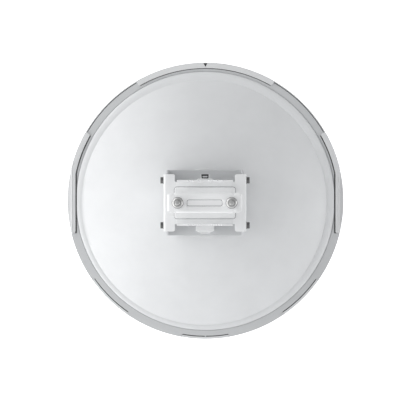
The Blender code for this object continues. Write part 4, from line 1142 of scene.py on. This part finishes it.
def add_housing():
    """The box behind the feed, with bevelled lower corners, a latch with its guides, and a port cover."""
    half, top, bottom = HOUSING_HIGH.x, HOUSING_HIGH.z, HOUSING_LOW.z
    wide, tall = HOUSING_CHAMFER
    small = 1.2 * MM
    corners = [(half, bottom + tall, small), (half - wide, bottom, small)]
    corners += [(wide - half, bottom, small), (-half, bottom + tall, small)]
    corners += [(-half, top, HOUSING_CORNER), (half, top, HOUSING_CORNER)]
    depth = HOUSING_HIGH.y - HOUSING_LOW.y
    middle_y = (HOUSING_HIGH.y + HOUSING_LOW.y) / 2
    place = Matrix.Translation((0, middle_y, 0)) @ TOWARDS_CAMERA
    block = finished(plate_form([round_corners(corners)], depth, HOUSING_EDGE, 5))
    shell = moved(block, place)
    # The housing wears a brighter copy of the white plastic: painted light.
    add_piece("housing_shell", shell, "white_plastic", "dish", "rear_housing", finish="housing_lit_plastic")

    low, high = LATCH_LOW.z, LATCH_HIGH.z
    wide, foot = LATCH_HIGH.x, LATCH_FOOT_HALF_WIDTH
    loop = round_corners([(wide, high, 0.8 * MM), (foot, low, 0.4 * MM), (-foot, low, 0.4 * MM),
                          (-wide, high, 0.8 * MM)])
    inside = round_corners([(wide - LATCH_BAR, high - 1.6 * LATCH_BAR, 0.4 * MM),
                            (foot - LATCH_BAR, low + LATCH_BAR, 0.4 * MM),
                            (LATCH_BAR - foot, low + LATCH_BAR, 0.4 * MM),
                            (LATCH_BAR - wide, high - 1.6 * LATCH_BAR, 0.4 * MM)])
    latch_depth = LATCH_HIGH.y - LATCH_LOW.y
    place = Matrix.Translation((0, (LATCH_HIGH.y + LATCH_LOW.y) / 2, 0)) @ TOWARDS_CAMERA
    latch = moved(finished(plate_form([loop, inside], latch_depth)), place)
    add_piece("latch_loop", latch, "black_plastic", "dish", "release_latch")
    for side, name in ((-1, "left"), (1, "right")):
        x = side * GUIDE_X
        left, right, foot_z = x - GUIDE_THICKNESS / 2, x + GUIDE_THICKNESS / 2, low - 1.0 * MM
        outline = [(left, foot_z, 0), (left, high, 0.4 * MM), (right, high, 0.4 * MM), (right, foot_z, 0)]
        guide = moved(finished(plate_form([round_corners(outline)], latch_depth, 0.2 * MM)), place)
        add_piece(f"latch_guide_{name}", guide, "white_plastic", "dish")

    port_half = PORT_HIGH.x
    port = [(port_half, PORT_HIGH.y, 2 * MM), (port_half, PORT_LOW.y, 2 * MM)]
    port += [(PORT_GRIP_HALF_WIDTH, PORT_LOW.y, 0.5 * MM)]
    port += [(PORT_GRIP_HALF_WIDTH, PORT_LOW.y + PORT_GRIP_DEPTH, 0.5 * MM)]
    outline = round_corners([*port, *[(-x, y, radius) for x, y, radius in reversed(port)]])
    thickness = PORT_HIGH.z - PORT_LOW.z
    cover = finished(plate_form([outline], thickness))
    cover = moved(cover, Matrix.Translation((0, 0, (PORT_HIGH.z + PORT_LOW.z) / 2)))
    add_piece("port_lid", cover, "white_plastic", "dish", "port_cover")


# Stage, light and camera

def stage_finish(name, glow):
    """Pale matt paper that may glow by itself."""
    finish = bpy.data.materials.new(name)
    finish.use_nodes = True
    shader = finish.node_tree.nodes["Principled BSDF"]
    shader.inputs["Base Color"].default_value = (0.86, 0.865, 0.87, 1.0)
    shader.inputs["Roughness"].default_value = 0.9
    shader.inputs["Emission Color"].default_value = (1.0, 1.0, 1.0, 1.0)
    shader.inputs["Emission Strength"].default_value = glow
    return finish


def add_stage():
    """A pale floor, and a lit white backdrop behind the object."""
    half = BACKDROP_HALF
    floor = [(-FLOOR_HALF, -FLOOR_HALF, FLOOR_Z), (FLOOR_HALF, -FLOOR_HALF, FLOOR_Z),
             (FLOOR_HALF, FLOOR_HALF, FLOOR_Z), (-FLOOR_HALF, FLOOR_HALF, FLOOR_Z)]
    backdrop = [(-half, BACKDROP_Y, FLOOR_Z + 0.01), (half, BACKDROP_Y, FLOOR_Z + 0.01),
                (half, BACKDROP_Y, half), (-half, BACKDROP_Y, half)]
    papers = (("studio_floor", floor, FLOOR_GLOW), ("studio_backdrop", backdrop, BACKDROP_GLOW))
    for name, corners, glow in papers:
        mesh = bpy.data.meshes.new(name)
        mesh.from_pydata(corners, [], [(0, 1, 2, 3)])
        mesh.materials.append(stage_finish(name, glow))
        paper = bpy.data.objects.new(name, mesh)
        bpy.context.scene.collection.objects.link(paper)


def add_area_light(name, direction, distance, size, power, colour=(1.0, 1.0, 1.0)):
    lamp = bpy.data.lights.new(name, "AREA")
    lamp.shape = "RECTANGLE"
    lamp.size, lamp.size_y = size
    lamp.energy = power
    lamp.color = colour
    way = Vector(direction).normalized()
    light = bpy.data.objects.new(name, lamp)
    light.location = Vector((0, FLANGE_REAR_Y, 0)) + way * distance
    light.rotation_mode = "QUATERNION"
    light.rotation_quaternion = (-way).to_track_quat("-Z", "Y")
    bpy.context.scene.collection.objects.link(light)
    return light


def add_lights():
    world = bpy.data.worlds.new("studio")
    world.use_nodes = True
    world.node_tree.nodes["Background"].inputs["Color"].default_value = (0.97, 0.985, 1.0, 1.0)
    world.node_tree.nodes["Background"].inputs["Strength"].default_value = WORLD_STRENGTH
    bpy.context.scene.world = world
    for name, direction, power in SOFTBOXES:
        add_area_light(name, direction, SOFTBOX_DISTANCE, SOFTBOX_SIZE, power)


def add_camera():
    azimuth, elevation = math.radians(CAMERA_AZIMUTH), math.radians(CAMERA_ELEVATION)
    back = Vector((math.sin(azimuth) * math.cos(elevation), -math.cos(azimuth) * math.cos(elevation),
                   math.sin(elevation)))
    rim_middle = Vector((0, FLANGE_REAR_Y, RIM_Z))
    camera = bpy.data.objects.new("camera", bpy.data.cameras.new("camera"))
    camera.data.lens = CAMERA_LENS
    camera.data.sensor_width = 36.0
    camera.data.clip_end = 50.0
    camera.location = rim_middle + back * CAMERA_DISTANCE
    target = rim_middle + Vector((AIM_OFFSET[0], 0, AIM_OFFSET[1]))
    camera.rotation_mode = "QUATERNION"
    camera.rotation_quaternion = (target - camera.location).to_track_quat("-Z", "Y")
    bpy.context.scene.collection.objects.link(camera)
    bpy.context.scene.camera = camera


add_reflector()
add_shroud()
add_gap_shadow()
add_radome()
add_top_clip()
add_side_clip("clip_left", -1, "rim_clip_left")
add_side_clip("clip_right", 1, "rim_clip_right")
add_clip_shadow_lines()
add_arrow_mark()
add_bead_ticks()
add_hub()
add_hub_screws()
add_base_bracket()
add_housing()
add_pole_bracket()
add_tilt_bolts()
add_clamp_bolts()
add_pole_clamp()

add_stage()
add_lights()
add_camera()
bpy.context.scene.view_settings.view_transform = "Standard"
